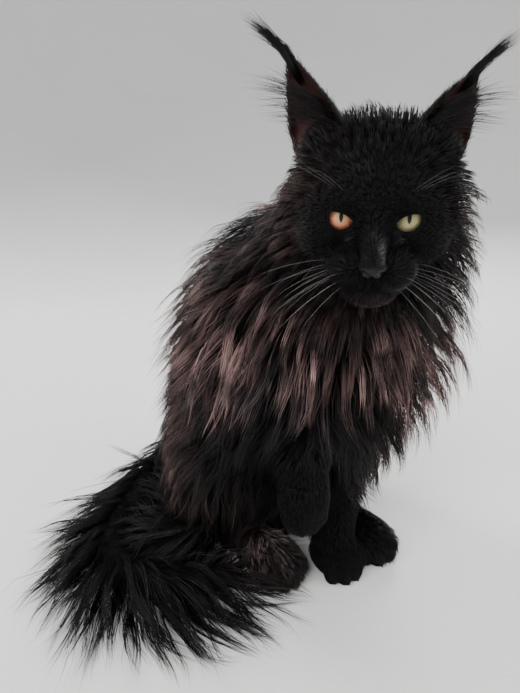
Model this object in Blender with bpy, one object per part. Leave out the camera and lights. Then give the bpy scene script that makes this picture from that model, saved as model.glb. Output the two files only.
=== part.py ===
"""A Maine Coon cat sitting with its right forepaw raised, life size, in the coat it wears.

Metres, +Z up. The origin is on the floor under the rump. +X is the cat's left and -Y is where its chest
faces. The body is one blended surface of named forms, parted into nodes by thin cuts, and the long coat is
laid over it as flat tapered locks that follow the lie of the hair.
"""

import math

import bmesh
import bpy
import numpy as np
from mathutils import Matrix, Vector
from mathutils.bvhtree import BVHTree

MM = 0.001
GAP = 0.35 * MM
SEED = 12


def mm(*values):
    return np.array(values, float) * MM


def unit(vector):
    vector = np.asarray(vector, float)
    return vector / np.linalg.norm(vector)


# The head looks to the cat's right and is lowered
EYES_MIDPOINT = mm(-42, -273, 340)
HEAD_YAW = math.radians(40)
HEAD_PITCH = math.radians(20)
HEAD_ROLL = math.radians(1.6)

# The head, in millimetres
EYE_SPACING = 41.5
EYE_RADIUS = 10.5
LID_THICKNESS = 1.5
LID_REACH = (8.2, 4.2, 7.4)
EYE_TURN = math.radians(-4)
EYE_RAISE = math.radians(18)
EYE_SLANT = math.radians(23)
NOSE_TIP = (0, -34, -20)
MUZZLE_WIDTH = 52
CHEEK_WIDTH = 90
CRANIUM_WIDTH = 62
EAR_WIDTH = 44
EAR_BASE = (36, 44, 33)
EAR_TIPS = {"right": (-63, 47, 87), "left": (57, 52, 77)}
TUFT_TIPS = {"right": (-86, 50, 106), "left": (72, 50, 93)}

# Joints of the skeleton, in millimetres
RUMP = (0, -2, 66)
WITHERS = (0, -106, 274)
LOIN = (0, -8, 182)
NECK_BASE = (0, -138, 256)
ELBOW_LEFT, WRIST_LEFT, TOES_LEFT = (30, -150, 150), (13, -180, 52), (11, -214, 0)
ELBOW_RIGHT, WRIST_RIGHT, PAW_RIGHT = (-42, -150, 160), (-47, -206, 148), (-46, -212, 108)
HIP_WIDTH = 58
KNEE, HOCK = (80, -114, 102), (62, -42, 20)
HIND_TOES_LEFT, HIND_TOES_RIGHT = (56, -210, 0), (-45, -192, 0)
TAIL_PATH = (
    (0, 26, 46), (-36, 58, 31), (-76, 55, 22), (-108, 22, 19), (-138, -16, 18),
    (-166, -52, 18), (-178, -92, 18), (-163, -130, 17), (-128, -152, 16), (-92, -160, 14),
)
TAIL_RADIUS = 15
TAIL_STEPS = 16

# How the forms run into one another
LIMB_BLEND = 18 * MM
LID_BLEND = 4 * MM
LINE_BLEND = 0.8 * MM

# How finely the body is made
BODY_CELL = 5.5 * MM
HEAD_CELL = 1.4 * MM
TAIL_CELL = 6 * MM
BODY_TRIANGLES = 3150
TAIL_TRIANGLES = 420
EYE_SEGMENTS, EYE_RINGS = 14, 8
FLOOR_DEPTH = 0.2

# Where the body is parted
NECK_CUT_TILT = math.radians(-43)
NECK_CUT_DEPTH = 53
SHOULDER_CUT_TILT = math.radians(-29)
SHOULDER_CUT_POINT = (0, -158, 235)
TAIL_CUTS = (("tail_base", 0.34), ("tail_middle", 0.66))

# The ears' walls and hair, and the locks of the coat, in millimetres
EAR_WALL = 1.6
TUFT_WIDTH = 6.5
FURNISHING_WIDTH = 7.0
LOCK_THICKNESS = 2.4
ROOT_DEPTH = 5.0
ROOT_MARGIN = 7.0
ROOT_FLOOR = 12
SKIN_TOLERANCE = 2.5
CLEARANCE = 0.5
FLOOR_CLEARANCE = 0.8

# Each lock's run: how far along it the rings stand and how wide they are, and the sizes tried in turn
STATIONS = (0.0, 0.22, 0.48, 0.76, 1.0)
WIDTHS = (0.55, 0.92, 0.90, 0.56)
SHRINKS = (1.0, 0.8, 0.62, 0.48, 0.36)
SIZE_RANGE = (0.82, 1.15)
SWAY = 0.16
TRIES = 4000


def turn(yaw=0.0, pitch=0.0, roll=0.0):
    """Axes as columns. Yaw turns the front to the cat's right, pitch lowers it, roll lowers its left."""
    made = Matrix.Rotation(-yaw, 3, "Z") @ Matrix.Rotation(pitch, 3, "X") @ Matrix.Rotation(roll, 3, "Y")
    return np.array(made)


HEAD_AXES = turn(HEAD_YAW, HEAD_PITCH, HEAD_ROLL)


def on_head(x, y, z):
    """A point given in millimetres from the midpoint of the eyes, in the head's own axes."""
    return EYES_MIDPOINT + HEAD_AXES @ mm(x, y, z)


class Ball:
    """An ellipsoid of flesh, with the depth of the coat over it."""

    def __init__(self, centre, radii, coat, blend, axes=None):
        self.centre, self.radii = np.asarray(centre, float), mm(*radii)
        self.coat, self.blend = coat * MM, blend * MM
        self.axes = np.eye(3) if axes is None else axes

    def distance(self, points, level):
        radii = self.radii + level * self.coat
        local = (points - self.centre) @ self.axes
        near = np.linalg.norm(local / radii, axis=-1)
        slope = np.linalg.norm(local / radii**2, axis=-1)
        return near * (near - 1) / np.maximum(slope, 1e-9)

    def reach(self):
        return self.centre, self.radii.max()


class Limb:
    """A round cone of flesh between two joints, with the depth of the coat at each."""

    def __init__(self, start, end, radius_start, radius_end, coats, blend):
        self.start, self.end = np.asarray(start, float), np.asarray(end, float)
        self.radii, self.coats, self.blend = mm(radius_start, radius_end), mm(*coats), blend * MM

    def distance(self, points, level):
        off = points - self.start
        along = self.end - self.start
        share = np.clip(off @ along / (along @ along), 0, 1)
        radii = self.radii + level * self.coats
        radius = radii[0] + (radii[1] - radii[0]) * share
        return np.linalg.norm(off - share[:, None] * along, axis=-1) - radius

    def reach(self):
        half = np.linalg.norm(self.end - self.start) / 2
        return (self.start + self.end) / 2, half + self.radii.max()


def torso_forms():
    leaning = turn(pitch=math.radians(-28))
    upright = turn(pitch=math.radians(-38))
    forms = [
        Ball(mm(*RUMP), (60, 58, 70), 10, 20),
        Ball(mm(0, -44, 124), (69, 72, 92), 13, 30, leaning),
        Ball(mm(0, -98, 84), (44, 40, 62), 10, 26),
        Ball(mm(0, -106, 196), (56, 64, 98), 13, 30, upright),
        Limb(mm(*WITHERS), mm(*LOIN), 38, 48, (10, 11), 30),
        Ball(mm(0, -156, 198), (56, 38, 64), 20, 30),
    ]
    for side in (-1, 1):
        forms.append(Ball(mm(side * 54, -136, 194), (33, 44, 68), 18, 22))
    return forms


def neck_forms():
    forms = [
        Limb(mm(*NECK_BASE), on_head(0, 58, -8), 51, 42, (18, 14), 26),
        Limb(mm(0, -162, 222), on_head(0, 36, -28), 44, 25, (20, 10), 26),
    ]
    for side in (-1, 1):
        forms.append(Ball(mm(side * 45, -152, 243), (35, 38, 46), 22, 24))
    return forms


def head_forms():
    """Skull, cheeks and muzzle in the head's axes. The coat here is short."""
    cheek, pad, cranium = CHEEK_WIDTH / 2, MUZZLE_WIDTH / 2, CRANIUM_WIDTH / 2
    forms = [
        Ball(on_head(0, 46, 11.5), (cranium + 3, 41, 29.5), 4.5, 14, HEAD_AXES),
        Ball(on_head(0, 19, 12), (27, 24, 19), 3, 14, HEAD_AXES),
        Limb(on_head(0, 8, 4), on_head(0, -25, -13), 9.5, 6, (2, 1), 9),
        Ball(on_head(0, NOSE_TIP[1] + 5, NOSE_TIP[2] + 1), (7.8, 6.5, 5.5), 0.3, 2.5, HEAD_AXES),
        Ball(on_head(0, -12, -40), (11, 12, 8), 3, 7, HEAD_AXES),
        Ball(on_head(0, 34, -22), (32, 33, 27), 7, 16, HEAD_AXES),
    ]
    for side in (-1, 1):
        forms += [
            Ball(on_head(side * 19, 9, 12), (11, 9, 6), 2, 8, HEAD_AXES),
            Ball(on_head(side * (cheek - 14), 21, -11), (16, 26, 19), 6, 14, HEAD_AXES),
            Ball(on_head(side * (pad - 13), -12, -27), (13, 14.5, 10), 2, 5, HEAD_AXES),
            Limb(on_head(side * 21, 30, -33), on_head(side * 7, -8, -39), 13, 8.5, (5, 2.5), 10),
            Ball(on_head(side * 31, 46, 27), (16.5, 17.5, 15.5), 3.5, 14, HEAD_AXES),
        ]
    return forms


def paw_forms(toes, radii):
    """Fist of a paw and its four toes, spread side by side at the front."""
    toes = np.array(toes, float)
    width, length, height = radii
    centre = toes + (0, length, height)
    forms = [Ball(mm(*centre), radii, 4, 8)]
    for share in (-0.72, -0.26, 0.26, 0.72):
        bulge = 0.42 * width * (1 - 0.5 * abs(share))
        toe = centre + (share * width, -length * (0.84 - 0.5 * share**2), -0.22 * height)
        forms.append(Ball(mm(*toe), (0.3 * width, bulge, 0.72 * height), 3, 3))
    return forms


def foreleg_left_forms():
    foot = mm(TOES_LEFT[0], TOES_LEFT[1] + 24, 16)
    return [
        Limb(mm(38, -140, 196), mm(*ELBOW_LEFT), 28, 23, (9, 8), 20),
        Limb(mm(*ELBOW_LEFT), mm(*WRIST_LEFT), 22, 15, (8, 5), 10),
        Limb(mm(*WRIST_LEFT), foot, 15, 14, (5, 4), 8),
    ] + paw_forms(TOES_LEFT, (21, 26, 16))


def foreleg_right_forms():
    """The raised leg: the forearm reaches forward and the paw hangs from the wrist."""
    x, y, z = PAW_RIGHT
    forms = [
        Limb(mm(-40, -140, 200), mm(*ELBOW_RIGHT), 27, 23, (9, 8), 20),
        Limb(mm(*ELBOW_RIGHT), mm(*WRIST_RIGHT), 22, 17, (7, 5), 10),
        Limb(mm(*WRIST_RIGHT), mm(x, y, z + 4), 17, 16, (5, 4), 8),
        Ball(mm(x, y, z), (20, 15, 24), 4, 8),
    ]
    for share in (-0.72, -0.26, 0.26, 0.72):
        toe = mm(x + share * 20, y - 2, z - 17 + 9 * share**2)
        forms.append(Ball(toe, (6.5, 10, 11), 3, 3))
    return forms


def hindleg_forms(side, toes):
    slant = turn(pitch=math.radians(24))
    hip = mm(side * HIP_WIDTH, -60, 84)
    knee = mm(side * KNEE[0], *KNEE[1:])
    hock = mm(side * HOCK[0], *HOCK[1:])
    heel = mm(side * HOCK[0], HOCK[1], 16)
    return [
        Ball(hip, (34, 62, 72), 10, 26, slant),
        Ball(knee, (26, 30, 34), 11, 22),
        Limb(knee, hock, 26, 16, (10, 6), 18),
        Limb(heel, mm(toes[0], toes[1] + 40, 15), 16, 14, (4, 4), 10),
    ] + paw_forms(toes, (21, 28, 15))


def path_points(path, count):
    """Points spaced evenly along a smooth curve through the path."""
    path = np.array(path, float)
    padded = np.vstack([2 * path[0] - path[1], path, 2 * path[-1] - path[-2]])
    dense = []
    for k in range(1, len(padded) - 2):
        a, b, c, d = padded[k - 1:k + 3]
        for t in np.linspace(0, 1, 20, endpoint=False):
            dense.append(0.5 * (2 * b + (c - a) * t + (2 * a - 5 * b + 4 * c - d) * t**2
                                + (3 * b - a - 3 * c + d) * t**3))
    dense = np.array(dense + [path[-1]])
    run = np.concatenate([[0], np.cumsum(np.linalg.norm(np.diff(dense, axis=0), axis=1))])
    wanted = np.linspace(0, run[-1], count)
    return np.stack([np.interp(wanted, run, dense[:, k]) for k in range(3)], axis=1)


def tail_forms():
    line = path_points(TAIL_PATH, TAIL_STEPS)
    shares = np.linspace(0, 1, TAIL_STEPS)
    taper = np.interp(shares, (0, 0.25, 0.8, 1), (1.1, 1.0, 0.85, 0.5)) * TAIL_RADIUS
    return [
        Limb(mm(*line[k]), mm(*line[k + 1]), taper[k], taper[k + 1], (7, 7), 8)
        for k in range(len(line) - 1)
    ]


def tail_flesh():
    return Flesh([tail_forms()])


class Eye:
    """Where an eye sits and which way it looks, with the slanted almond that its lids leave open."""

    def __init__(self, side):
        outward = turn(yaw=-side * EYE_TURN, pitch=-EYE_RAISE)
        slanted = turn(roll=-side * EYE_SLANT)
        self.axes = HEAD_AXES @ outward @ slanted
        self.centre = on_head(side * EYE_SPACING / 2, EYE_RADIUS, -2.4)

    def lids(self, points):
        return np.linalg.norm(points - self.centre, axis=-1) - (EYE_RADIUS + LID_THICKNESS) * MM

    def opening(self, points):
        half_width, upper, lower = mm(*LID_REACH)
        across, back, up = ((points - self.centre) @ self.axes).T
        upper_radius = (half_width**2 + upper**2) / (2 * upper)
        lower_radius = (half_width**2 + lower**2) / (2 * lower)
        under = np.hypot(across, up - upper + upper_radius) - upper_radius
        over = np.hypot(across, up + lower - lower_radius) - lower_radius
        return np.maximum(np.maximum(under, over), back)


EYES = {"right": Eye(-1), "left": Eye(1)}


def face_lines(skin, level):
    """Nostrils, the groove under the nose and the line of the mouth, as thin limbs laid in the surface."""
    x, y, z = NOSE_TIP
    chains = [([(0, y + 1, z - 1), (0, y + 3, z - 7), (0, y + 6, z - 12)], 1.2)]
    for side in (-1, 1):
        nostril = [(2.4, y, z - 1), (4.8, y + 1, z + 0.5), (7.4, y + 5, z - 1.5)]
        lip = [(0, y + 7, z - 13), (6, y + 7, z - 16), (13, y + 12, z - 18)]
        mouth = lip + [(19, y + 20, z - 17), (23, y + 28, z - 14)]
        chains.append(([(side * a, b, c) for a, b, c in nostril], 1.3))
        chains.append(([(side * a, b, c) for a, b, c in mouth], 1.7))
    lines = []
    for chain, radius in chains:
        places = skin.settle(np.array([on_head(*point) for point in chain]), level)
        lines += [Limb(a, b, radius, radius, (0, 0), 1) for a, b in zip(places, places[1:])]
    return lines


def smooth_min(a, b, width):
    share = np.clip(1 - np.abs(a - b) / width, 0, 1)
    return np.minimum(a, b) - share * share * width / 4


class Group:
    """Forms blended into one another, left out of the sum where points are far from them."""

    MARGIN = 0.09

    def __init__(self, forms):
        reaches = [form.reach() for form in forms]
        self.forms = forms
        self.centre = np.mean([middle for middle, _ in reaches], axis=0)
        self.radius = max(np.linalg.norm(middle - self.centre) + size for middle, size in reaches)

    def distance(self, points, level):
        total = np.linalg.norm(points - self.centre, axis=1) - self.radius
        near = total < self.MARGIN
        total = np.maximum(total, self.MARGIN)
        if near.any():
            inside = None
            for form in self.forms:
                distance = form.distance(points[near], level)
                inside = distance if inside is None else smooth_min(inside, distance, form.blend)
            total[near] = inside
        return total


class Flesh:
    """A trunk of blended groups with limbs blended on. Level 0 is the skin and 1 the solid's surface."""

    def __init__(self, trunk, limbs=()):
        self.trunk = [Group(forms) for forms in trunk]
        self.limbs = [Group(forms) for forms in limbs]
        self.eyes = []
        self.lines = None

    def distance(self, points, level=0.0):
        total = None
        for group in self.trunk:
            distance = group.distance(points, level)
            total = distance if total is None else smooth_min(total, distance, group.forms[0].blend)
        if self.limbs:
            nearest = np.min([group.distance(points, level) for group in self.limbs], axis=0)
            total = smooth_min(total, nearest, LIMB_BLEND)
        for eye in self.eyes:
            total = smooth_min(total, eye.lids(points), LID_BLEND)
            total = np.maximum(total, -eye.opening(points))
        if self.lines:
            total = -smooth_min(-total, self.lines.distance(points, 0.0), LINE_BLEND)
        return total

    def normals(self, points, level=0.0):
        step = 0.4 * MM
        around = np.array([(1, -1, -1), (-1, -1, 1), (-1, 1, -1), (1, 1, 1)], float)
        slope = sum(corner * self.distance(points + corner * step, level)[:, None] for corner in around)
        return slope / np.maximum(np.linalg.norm(slope, axis=1, keepdims=True), 1e-9)

    def settle(self, points, level, height=0.0):
        """Moves points along the slope until they stand at a height over the surface."""
        for _ in range(4):
            off = self.distance(points, level) - height
            points = points - self.normals(points, level) * off[:, None]
        return points


def body_flesh(level):
    trunk = [torso_forms(), neck_forms(), head_forms()]
    limbs = [
        foreleg_left_forms(), foreleg_right_forms(),
        hindleg_forms(1, HIND_TOES_LEFT), hindleg_forms(-1, HIND_TOES_RIGHT),
    ]
    flesh = Flesh(trunk, limbs)
    flesh.lines = Group(face_lines(flesh, level))
    flesh.eyes = list(EYES.values())
    return flesh


def untangled(values):
    """Fills a corner of each grid face where the surface would cross itself: all edges have two faces."""
    values = values.copy()
    for _ in range(6):
        crossed = 0
        for a, b in ((0, 1), (0, 2), (1, 2)):
            corners = []
            for step_a, step_b in ((0, 0), (1, 0), (1, 1), (0, 1)):
                window = [slice(None)] * 3
                window[a] = slice(step_a, values.shape[a] - 1 + step_a)
                window[b] = slice(step_b, values.shape[b] - 1 + step_b)
                corners.append(values[tuple(window)])
            inside = [corner < 0 for corner in corners]
            mixed = (inside[0] == inside[2]) & (inside[1] == inside[3]) & (inside[0] != inside[1])
            crossed += mixed.sum()
            for corner, within in zip(corners, inside):
                corner[mixed & ~within] = -1e-6
        if not crossed:
            break
    return values


def surface_net(values, axes):
    """Points and quads of the surface where a grid of distances passes zero, a point a crossed cell."""
    shape = np.array(values.shape)
    cells = shape - 1
    inside = values < 0
    flat_size = int(np.prod(cells))
    counts = np.zeros(flat_size)
    sums = np.zeros((flat_size, 3))
    strides = np.array([cells[1] * cells[2], cells[2], 1])
    edges = []
    for axis in range(3):
        low = [slice(None)] * 3
        high = [slice(None)] * 3
        low[axis], high[axis] = slice(None, -1), slice(1, None)
        low, high = tuple(low), tuple(high)
        index = np.argwhere(inside[low] != inside[high])
        before, after = values[low][tuple(index.T)], values[high][tuple(index.T)]
        crossing = index.astype(float)
        crossing[:, axis] += before / (before - after)
        columns = [np.interp(crossing[:, k], np.arange(shape[k]), axes[k]) for k in range(3)]
        place = np.stack(columns, axis=1)
        others = [k for k in range(3) if k != axis]
        corners = []
        for a, b in ((0, 0), (1, 0), (1, 1), (0, 1)):
            cell = index.copy()
            cell[:, others[0]] -= a
            cell[:, others[1]] -= b
            flat = cell @ strides
            corners.append(flat)
            counts += np.bincount(flat, minlength=flat_size)
            for k in range(3):
                sums[:, k] += np.bincount(flat, weights=place[:, k], minlength=flat_size)
        quads = np.stack(corners, axis=1)
        outward = inside[low][tuple(index.T)]
        if axis == 1:
            outward = ~outward
        quads[~outward] = quads[~outward][:, ::-1]
        edges.append(quads)
    used = np.flatnonzero(counts)
    renumber = np.zeros(flat_size, int)
    renumber[used] = np.arange(len(used))
    return sums[used] / counts[used, None], renumber[np.concatenate(edges)]


def grid_axis(low, high, fine_low, fine_high, coarse, fine):
    """Grid lines set close together over one stretch and wider elsewhere."""
    before = np.linspace(low, fine_low, max(2, round((fine_low - low) / coarse) + 1))[:-1]
    within = np.linspace(fine_low, fine_high, round((fine_high - fine_low) / fine) + 1)
    after = np.linspace(fine_high, high, max(2, round((high - fine_high) / coarse) + 1))[1:]
    return np.concatenate([before, within, after])


def new_object(name, points, faces, smooth=True):
    mesh = bpy.data.meshes.new(name)
    mesh.from_pydata(np.asarray(points).tolist(), [], [tuple(face) for face in faces])
    mesh.update()
    if smooth:
        mesh.shade_smooth()
    made = bpy.data.objects.new(name, mesh)
    bpy.context.scene.collection.objects.link(made)
    return made


def discard(made):
    mesh = made.data
    bpy.data.objects.remove(made)
    bpy.data.meshes.remove(mesh)


def apply_modifiers(made):
    shown = made.evaluated_get(bpy.context.evaluated_depsgraph_get())
    mesh = bpy.data.meshes.new_from_object(shown)
    old = made.data
    made.modifiers.clear()
    made.data = mesh
    bpy.data.meshes.remove(old)


def boolean(target, operand, operation, solver="EXACT"):
    """Joins, cuts or intersects with an object, or with every object of a collection."""
    step = target.modifiers.new("Step", "BOOLEAN")
    step.operation, step.solver = operation, solver
    if isinstance(operand, bpy.types.Collection):
        step.operand_type, step.collection = "COLLECTION", operand
    else:
        step.object = operand
    apply_modifiers(target)


def room_spanned(faces):
    return np.ptp([vert.co for face in faces for vert in face.verts], axis=0).prod()


def keep_largest(made):
    """Leaves only the closed surface that spans the most room, of those whose faces meet along edges."""
    shape = bmesh.new()
    shape.from_mesh(made.data)
    unseen = set(shape.faces)
    bodies = []
    while unseen:
        body, front = [], [unseen.pop()]
        while front:
            face = front.pop()
            body.append(face)
            for other in [other for edge in face.edges for other in edge.link_faces]:
                if other in unseen:
                    unseen.discard(other)
                    front.append(other)
        bodies.append(body)
    bodies.sort(key=room_spanned)
    for body in bodies[:-1]:
        bmesh.ops.delete(shape, geom=body, context="FACES")
    shape.to_mesh(made.data)
    shape.free()


def copy_of(made, name, swell=0.0):
    """A copy, with its surface moved out along the normals where it has to leave a gap."""
    copied = made.copy()
    copied.data = made.data.copy()
    copied.name = name
    bpy.context.scene.collection.objects.link(copied)
    if swell:
        mesh = copied.data
        places = np.empty(len(mesh.vertices) * 3)
        mesh.vertices.foreach_get("co", places)
        slopes = np.array([normal.vector for normal in mesh.vertex_normals])
        mesh.vertices.foreach_set("co", (places.reshape(-1, 3) + slopes * swell).ravel())
        mesh.update()
    return copied


def box(name, centre, axes, half_sizes):
    corners = np.array([(x, y, z) for x in (-1, 1) for y in (-1, 1) for z in (-1, 1)]) * half_sizes
    faces = [(0, 1, 3, 2), (4, 6, 7, 5), (0, 4, 5, 1), (2, 3, 7, 6), (0, 2, 6, 4), (1, 5, 7, 3)]
    return new_object(name, np.asarray(centre) + corners @ np.asarray(axes).T, faces, smooth=False)


def polygonised(name, flesh, axes, triangles):
    """The solid's surface of some flesh as a closed mesh, thinned to so many triangles, cut at the floor."""
    grid = np.stack(np.meshgrid(*axes, indexing="ij"), axis=-1)
    values = np.concatenate([flesh.distance(slab.reshape(-1, 3), 1.0) for slab in grid])
    points, quads = surface_net(untangled(values.reshape(grid.shape[:3])), axes)
    made = new_object(name, points, quads)
    thin = made.modifiers.new("Thin", "DECIMATE")
    thin.ratio = triangles / (2 * len(quads))
    apply_modifiers(made)
    floor = box("Floor", (0, 0, -FLOOR_DEPTH), np.eye(3), (1, 1, FLOOR_DEPTH))
    boolean(made, floor, "DIFFERENCE")
    discard(floor)
    keep_largest(made)
    return made


def body_axes():
    x, y, z = EYES_MIDPOINT
    return [
        grid_axis(-0.16, 0.16, x - 0.055, x + 0.085, BODY_CELL, HEAD_CELL),
        grid_axis(-0.34, 0.12, y - 0.045, y + 0.09, BODY_CELL, HEAD_CELL),
        grid_axis(-0.02, 0.45, z - 0.065, z + 0.085, BODY_CELL, HEAD_CELL),
    ]


def tail_axes():
    return [np.arange(low, high, TAIL_CELL) for low, high in ((-0.22, 0.04), (-0.19, 0.13), (-0.02, 0.09))]


class Cut:
    """An oriented box that takes one node out of the body, leaving a gap on all its sides."""

    def __init__(self, node, centre, half_sizes, axes=None):
        self.node, self.centre = node, np.asarray(centre, float)
        self.half_sizes, self.axes = mm(*half_sizes), np.eye(3) if axes is None else axes

    def take(self, body):
        """Parts the body in two, and gives back the piece inside the box."""
        inner = box("Inner", self.centre, self.axes, self.half_sizes)
        outer = box("Outer", self.centre, self.axes, self.half_sizes + GAP)
        piece = copy_of(body, self.node)
        boolean(piece, inner, "INTERSECT")
        boolean(body, outer, "DIFFERENCE")
        discard(inner)
        discard(outer)
        keep_largest(piece)
        keep_largest(body)
        return piece


def body_cuts():
    reach = 100
    back_of_head = HEAD_AXES @ turn(pitch=NECK_CUT_TILT)
    head_centre = EYES_MIDPOINT + back_of_head[:, 1] * (NECK_CUT_DEPTH - reach) * MM
    shoulders = turn(pitch=SHOULDER_CUT_TILT)
    neck_centre = mm(*SHOULDER_CUT_POINT) - shoulders[:, 1] * reach * MM
    return [
        Cut("head", head_centre, (reach, reach, reach), back_of_head),
        Cut("foreleg_right", mm(-50, -224, 124), (29, 54, 50), turn(pitch=math.radians(6))),
        Cut("foreleg_left", mm(15, -190, 56), (32, 60, 88), turn(pitch=math.radians(-8))),
        Cut("hindpaw_right", mm(-66, -168, 18), (48, 76, 30)),
        Cut("hindpaw_left", mm(80, -165, 18), (48, 78, 30)),
        Cut("hindleg_right", mm(-96, -100, 70), (64, 140, 86), turn(pitch=math.radians(-4))),
        Cut("hindleg_left", mm(96, -100, 70), (64, 140, 86), turn(pitch=math.radians(-4))),
        Cut("neck", neck_centre, (140, reach, 140), shoulders),
    ]


def loft(name, rings):
    """A closed skin over rings of points, capped at both ends."""
    count = len(rings[0])
    points = np.concatenate(rings)
    faces = [tuple(range(count))[::-1]]
    for k in range(len(rings) - 1):
        for i in range(count):
            j = (i + 1) % count
            a, b = k * count, (k + 1) * count
            faces += [(a + i, a + j, b + j), (a + i, b + j, b + i)]
    last = (len(rings) - 1) * count
    faces.append(tuple(range(last, last + count)))
    return new_object(name, points, faces)


def ear_frame(side):
    """Root, tip and axes of an ear: across, back and along it."""
    sign = 1 if side == "left" else -1
    root = on_head(sign * EAR_BASE[0], EAR_BASE[1], EAR_BASE[2])
    tip = on_head(*EAR_TIPS[side])
    along = unit(tip - root)
    facing = HEAD_AXES @ unit((sign * 0.50, -0.86, 0.1))
    back = -unit(facing - along * (facing @ along))
    return root, tip, np.stack([np.cross(along, back) * -1, back, along], axis=1)


def ear(side):
    """A cup of skin and short fur, open to the front, that narrows to the tip."""
    root, tip, axes = ear_frame(side)
    height = np.linalg.norm(tip - root)
    half = EAR_WIDTH / 2 * MM
    wall = EAR_WALL * MM
    outer_turns = np.radians(np.linspace(-98, 98, 9))
    inner_turns = np.radians(np.linspace(80, -80, 7))
    rings = []
    for share in (-0.12, 0.1, 0.24, 0.4, 0.56, 0.72, 0.86, 1.0):
        width = half * max(1 - max(share, 0) ** 1.25, 0.07) * (1 + 0.10 * math.sin(math.pi * max(share, 0)))
        depth = 0.66 * width
        hollow = np.clip((share - 0.08) / 0.22, 0, 1) * 0.9
        middle = root + axes[:, 2] * height * share + axes[:, 1] * height * 0.10 * share**2
        thick = min(wall, 0.4 * width)
        ring = [(width * math.sin(t), depth * math.cos(t)) for t in outer_turns]
        for t in inner_turns:
            rim = (width - thick) * math.sin(t)
            ring.append((rim, (depth - thick) * math.cos(t) * hollow - 0.06 * depth * (1 - hollow)))
        rings.append(np.array([middle + axes[:, 0] * a + axes[:, 1] * b for a, b in ring]))
    return loft("ear_" + side, rings)


def eye_ball(side):
    eye = EYES[side]
    sphere = bpy.ops.mesh.primitive_uv_sphere_add
    sphere(segments=EYE_SEGMENTS, ring_count=EYE_RINGS, radius=EYE_RADIUS * MM)
    made = bpy.context.object
    made.name = "eye_" + side
    placed = Matrix(eye.axes) @ Matrix.Rotation(math.radians(90), 3, "X")
    made.data.transform(placed.to_4x4())
    made.data.transform(Matrix.Translation(Vector(eye.centre)))
    made.data.shade_smooth()
    return made


def carve(target, tool):
    """Cuts a swollen copy of the tool out of the target."""
    swollen = copy_of(tool, "Swollen", GAP)
    boolean(target, swollen, "DIFFERENCE")
    discard(swollen)
    keep_largest(target)


def build_nodes():
    """Every node in its plain form, parted and set in place."""
    body = polygonised("torso", body_flesh(1.0), body_axes(), BODY_TRIANGLES)
    nodes = {}
    for side in ("left", "right"):
        ball = eye_ball(side)
        carve(body, ball)
        nodes[ball.name] = ball
    for side in ("left", "right"):
        cup = ear(side)
        carve(cup, body)
        nodes[cup.name] = cup
    tail = polygonised("tail_tip", tail_flesh(), tail_axes(), TAIL_TRIANGLES)
    carve(tail, body)
    for cut in tail_cuts():
        nodes[cut.node] = cut.take(tail)
    nodes["tail_tip"] = tail
    for cut in body_cuts():
        nodes[cut.node] = cut.take(body)
    nodes["torso"] = body
    return nodes


def tail_cuts():
    """The tail in three lengths, cut square to its run."""
    line = path_points(TAIL_PATH, TAIL_STEPS)
    cuts = []
    for node, share in TAIL_CUTS:
        k = round(share * (TAIL_STEPS - 1))
        along = unit(line[k + 1] - line[k - 1])
        axes = np.stack([np.cross(along, (0, 0, 1)), along, (0, 0, 1)], axis=1)
        half = 110
        cuts.append(Cut(node, mm(*(line[k] - along * half)), (half, half, half), axes))
    return cuts


class Hair:
    """How the locks of one stretch of coat are made: sizes in millimetres, and the lie they follow."""

    def __init__(self, spacing, length, width, lift, lie, droop=0.0):
        self.spacing, self.length, self.width, self.lift = spacing, length, width, lift
        self.lie, self.droop = lie, droop


def down_the_body(points):
    """Back along the spine and down the flanks."""
    lie = np.tile((0.0, 0.45, -0.9), (len(points), 1))
    lie[:, 0] = 0.25 * np.sign(points[:, 0])
    return lie


def down_the_chest(points):
    """Out from behind the cheeks, then down: the ruff fans a little from the midline."""
    nape = np.clip((points[:, 1] / MM + 200) / 80, 0, 1)
    fan = (3.0 + 4.0 * nape) * points[:, 0] + 0.15 * np.sign(points[:, 0])
    return np.stack([fan, 0.7 * nape, -np.ones(len(points))], axis=1)


def down_the_leg(points):
    return np.tile((0.0, 0.22, -1.0), (len(points), 1))


def back_from_face(points):
    """Away from the nose over the cheeks, then down."""
    lie = points - on_head(0, -40, 10)
    lie /= np.linalg.norm(lie, axis=1, keepdims=True)
    return lie + HEAD_AXES @ (0, 0.2, -0.9)


def along_the_tail(points):
    """Outward from the bone of the tail and on towards its tip, which opens the plume into a fan."""
    line = path_points(TAIL_PATH, 60) * MM
    nearest = np.linalg.norm(points[:, None] - line[None], axis=2).argmin(axis=1)
    run = np.gradient(line, axis=0)
    run /= np.linalg.norm(run, axis=1, keepdims=True)
    out = points - line[nearest]
    out[:, 2] *= 0.3
    out /= np.maximum(np.linalg.norm(out, axis=1, keepdims=True), 1e-9)
    fan = np.interp(nearest / 59, (0, 0.2, 0.45, 1), (0.05, 0.25, 0.7, 0.9))[:, None]
    return (1 - 0.45 * fan) * run[nearest] + fan * out + (0, 0, -0.12)


COAT = {
    "head": Hair(18, 46, 17, 17, back_from_face, droop=0.2),
    "neck": Hair(28, 78, 26, 23, down_the_chest, droop=0.45),
    "torso": Hair(39, 82, 29, 15, down_the_body, droop=0.1),
    "hindleg_left": Hair(36, 60, 27, 11, down_the_leg, droop=0.15),
    "hindleg_right": Hair(34, 60, 27, 11, down_the_leg, droop=0.15),
    "foreleg_left": Hair(28, 30, 14, 5, down_the_leg),
    "foreleg_right": Hair(28, 30, 14, 5, down_the_leg),
    "tail_base": Hair(23, 50, 23, 8, along_the_tail, droop=0.5),
    "tail_middle": Hair(21.5, 86, 26, 12, along_the_tail, droop=0.3),
    "tail_tip": Hair(20, 80, 27, 15, along_the_tail, droop=0.1),
}


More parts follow.
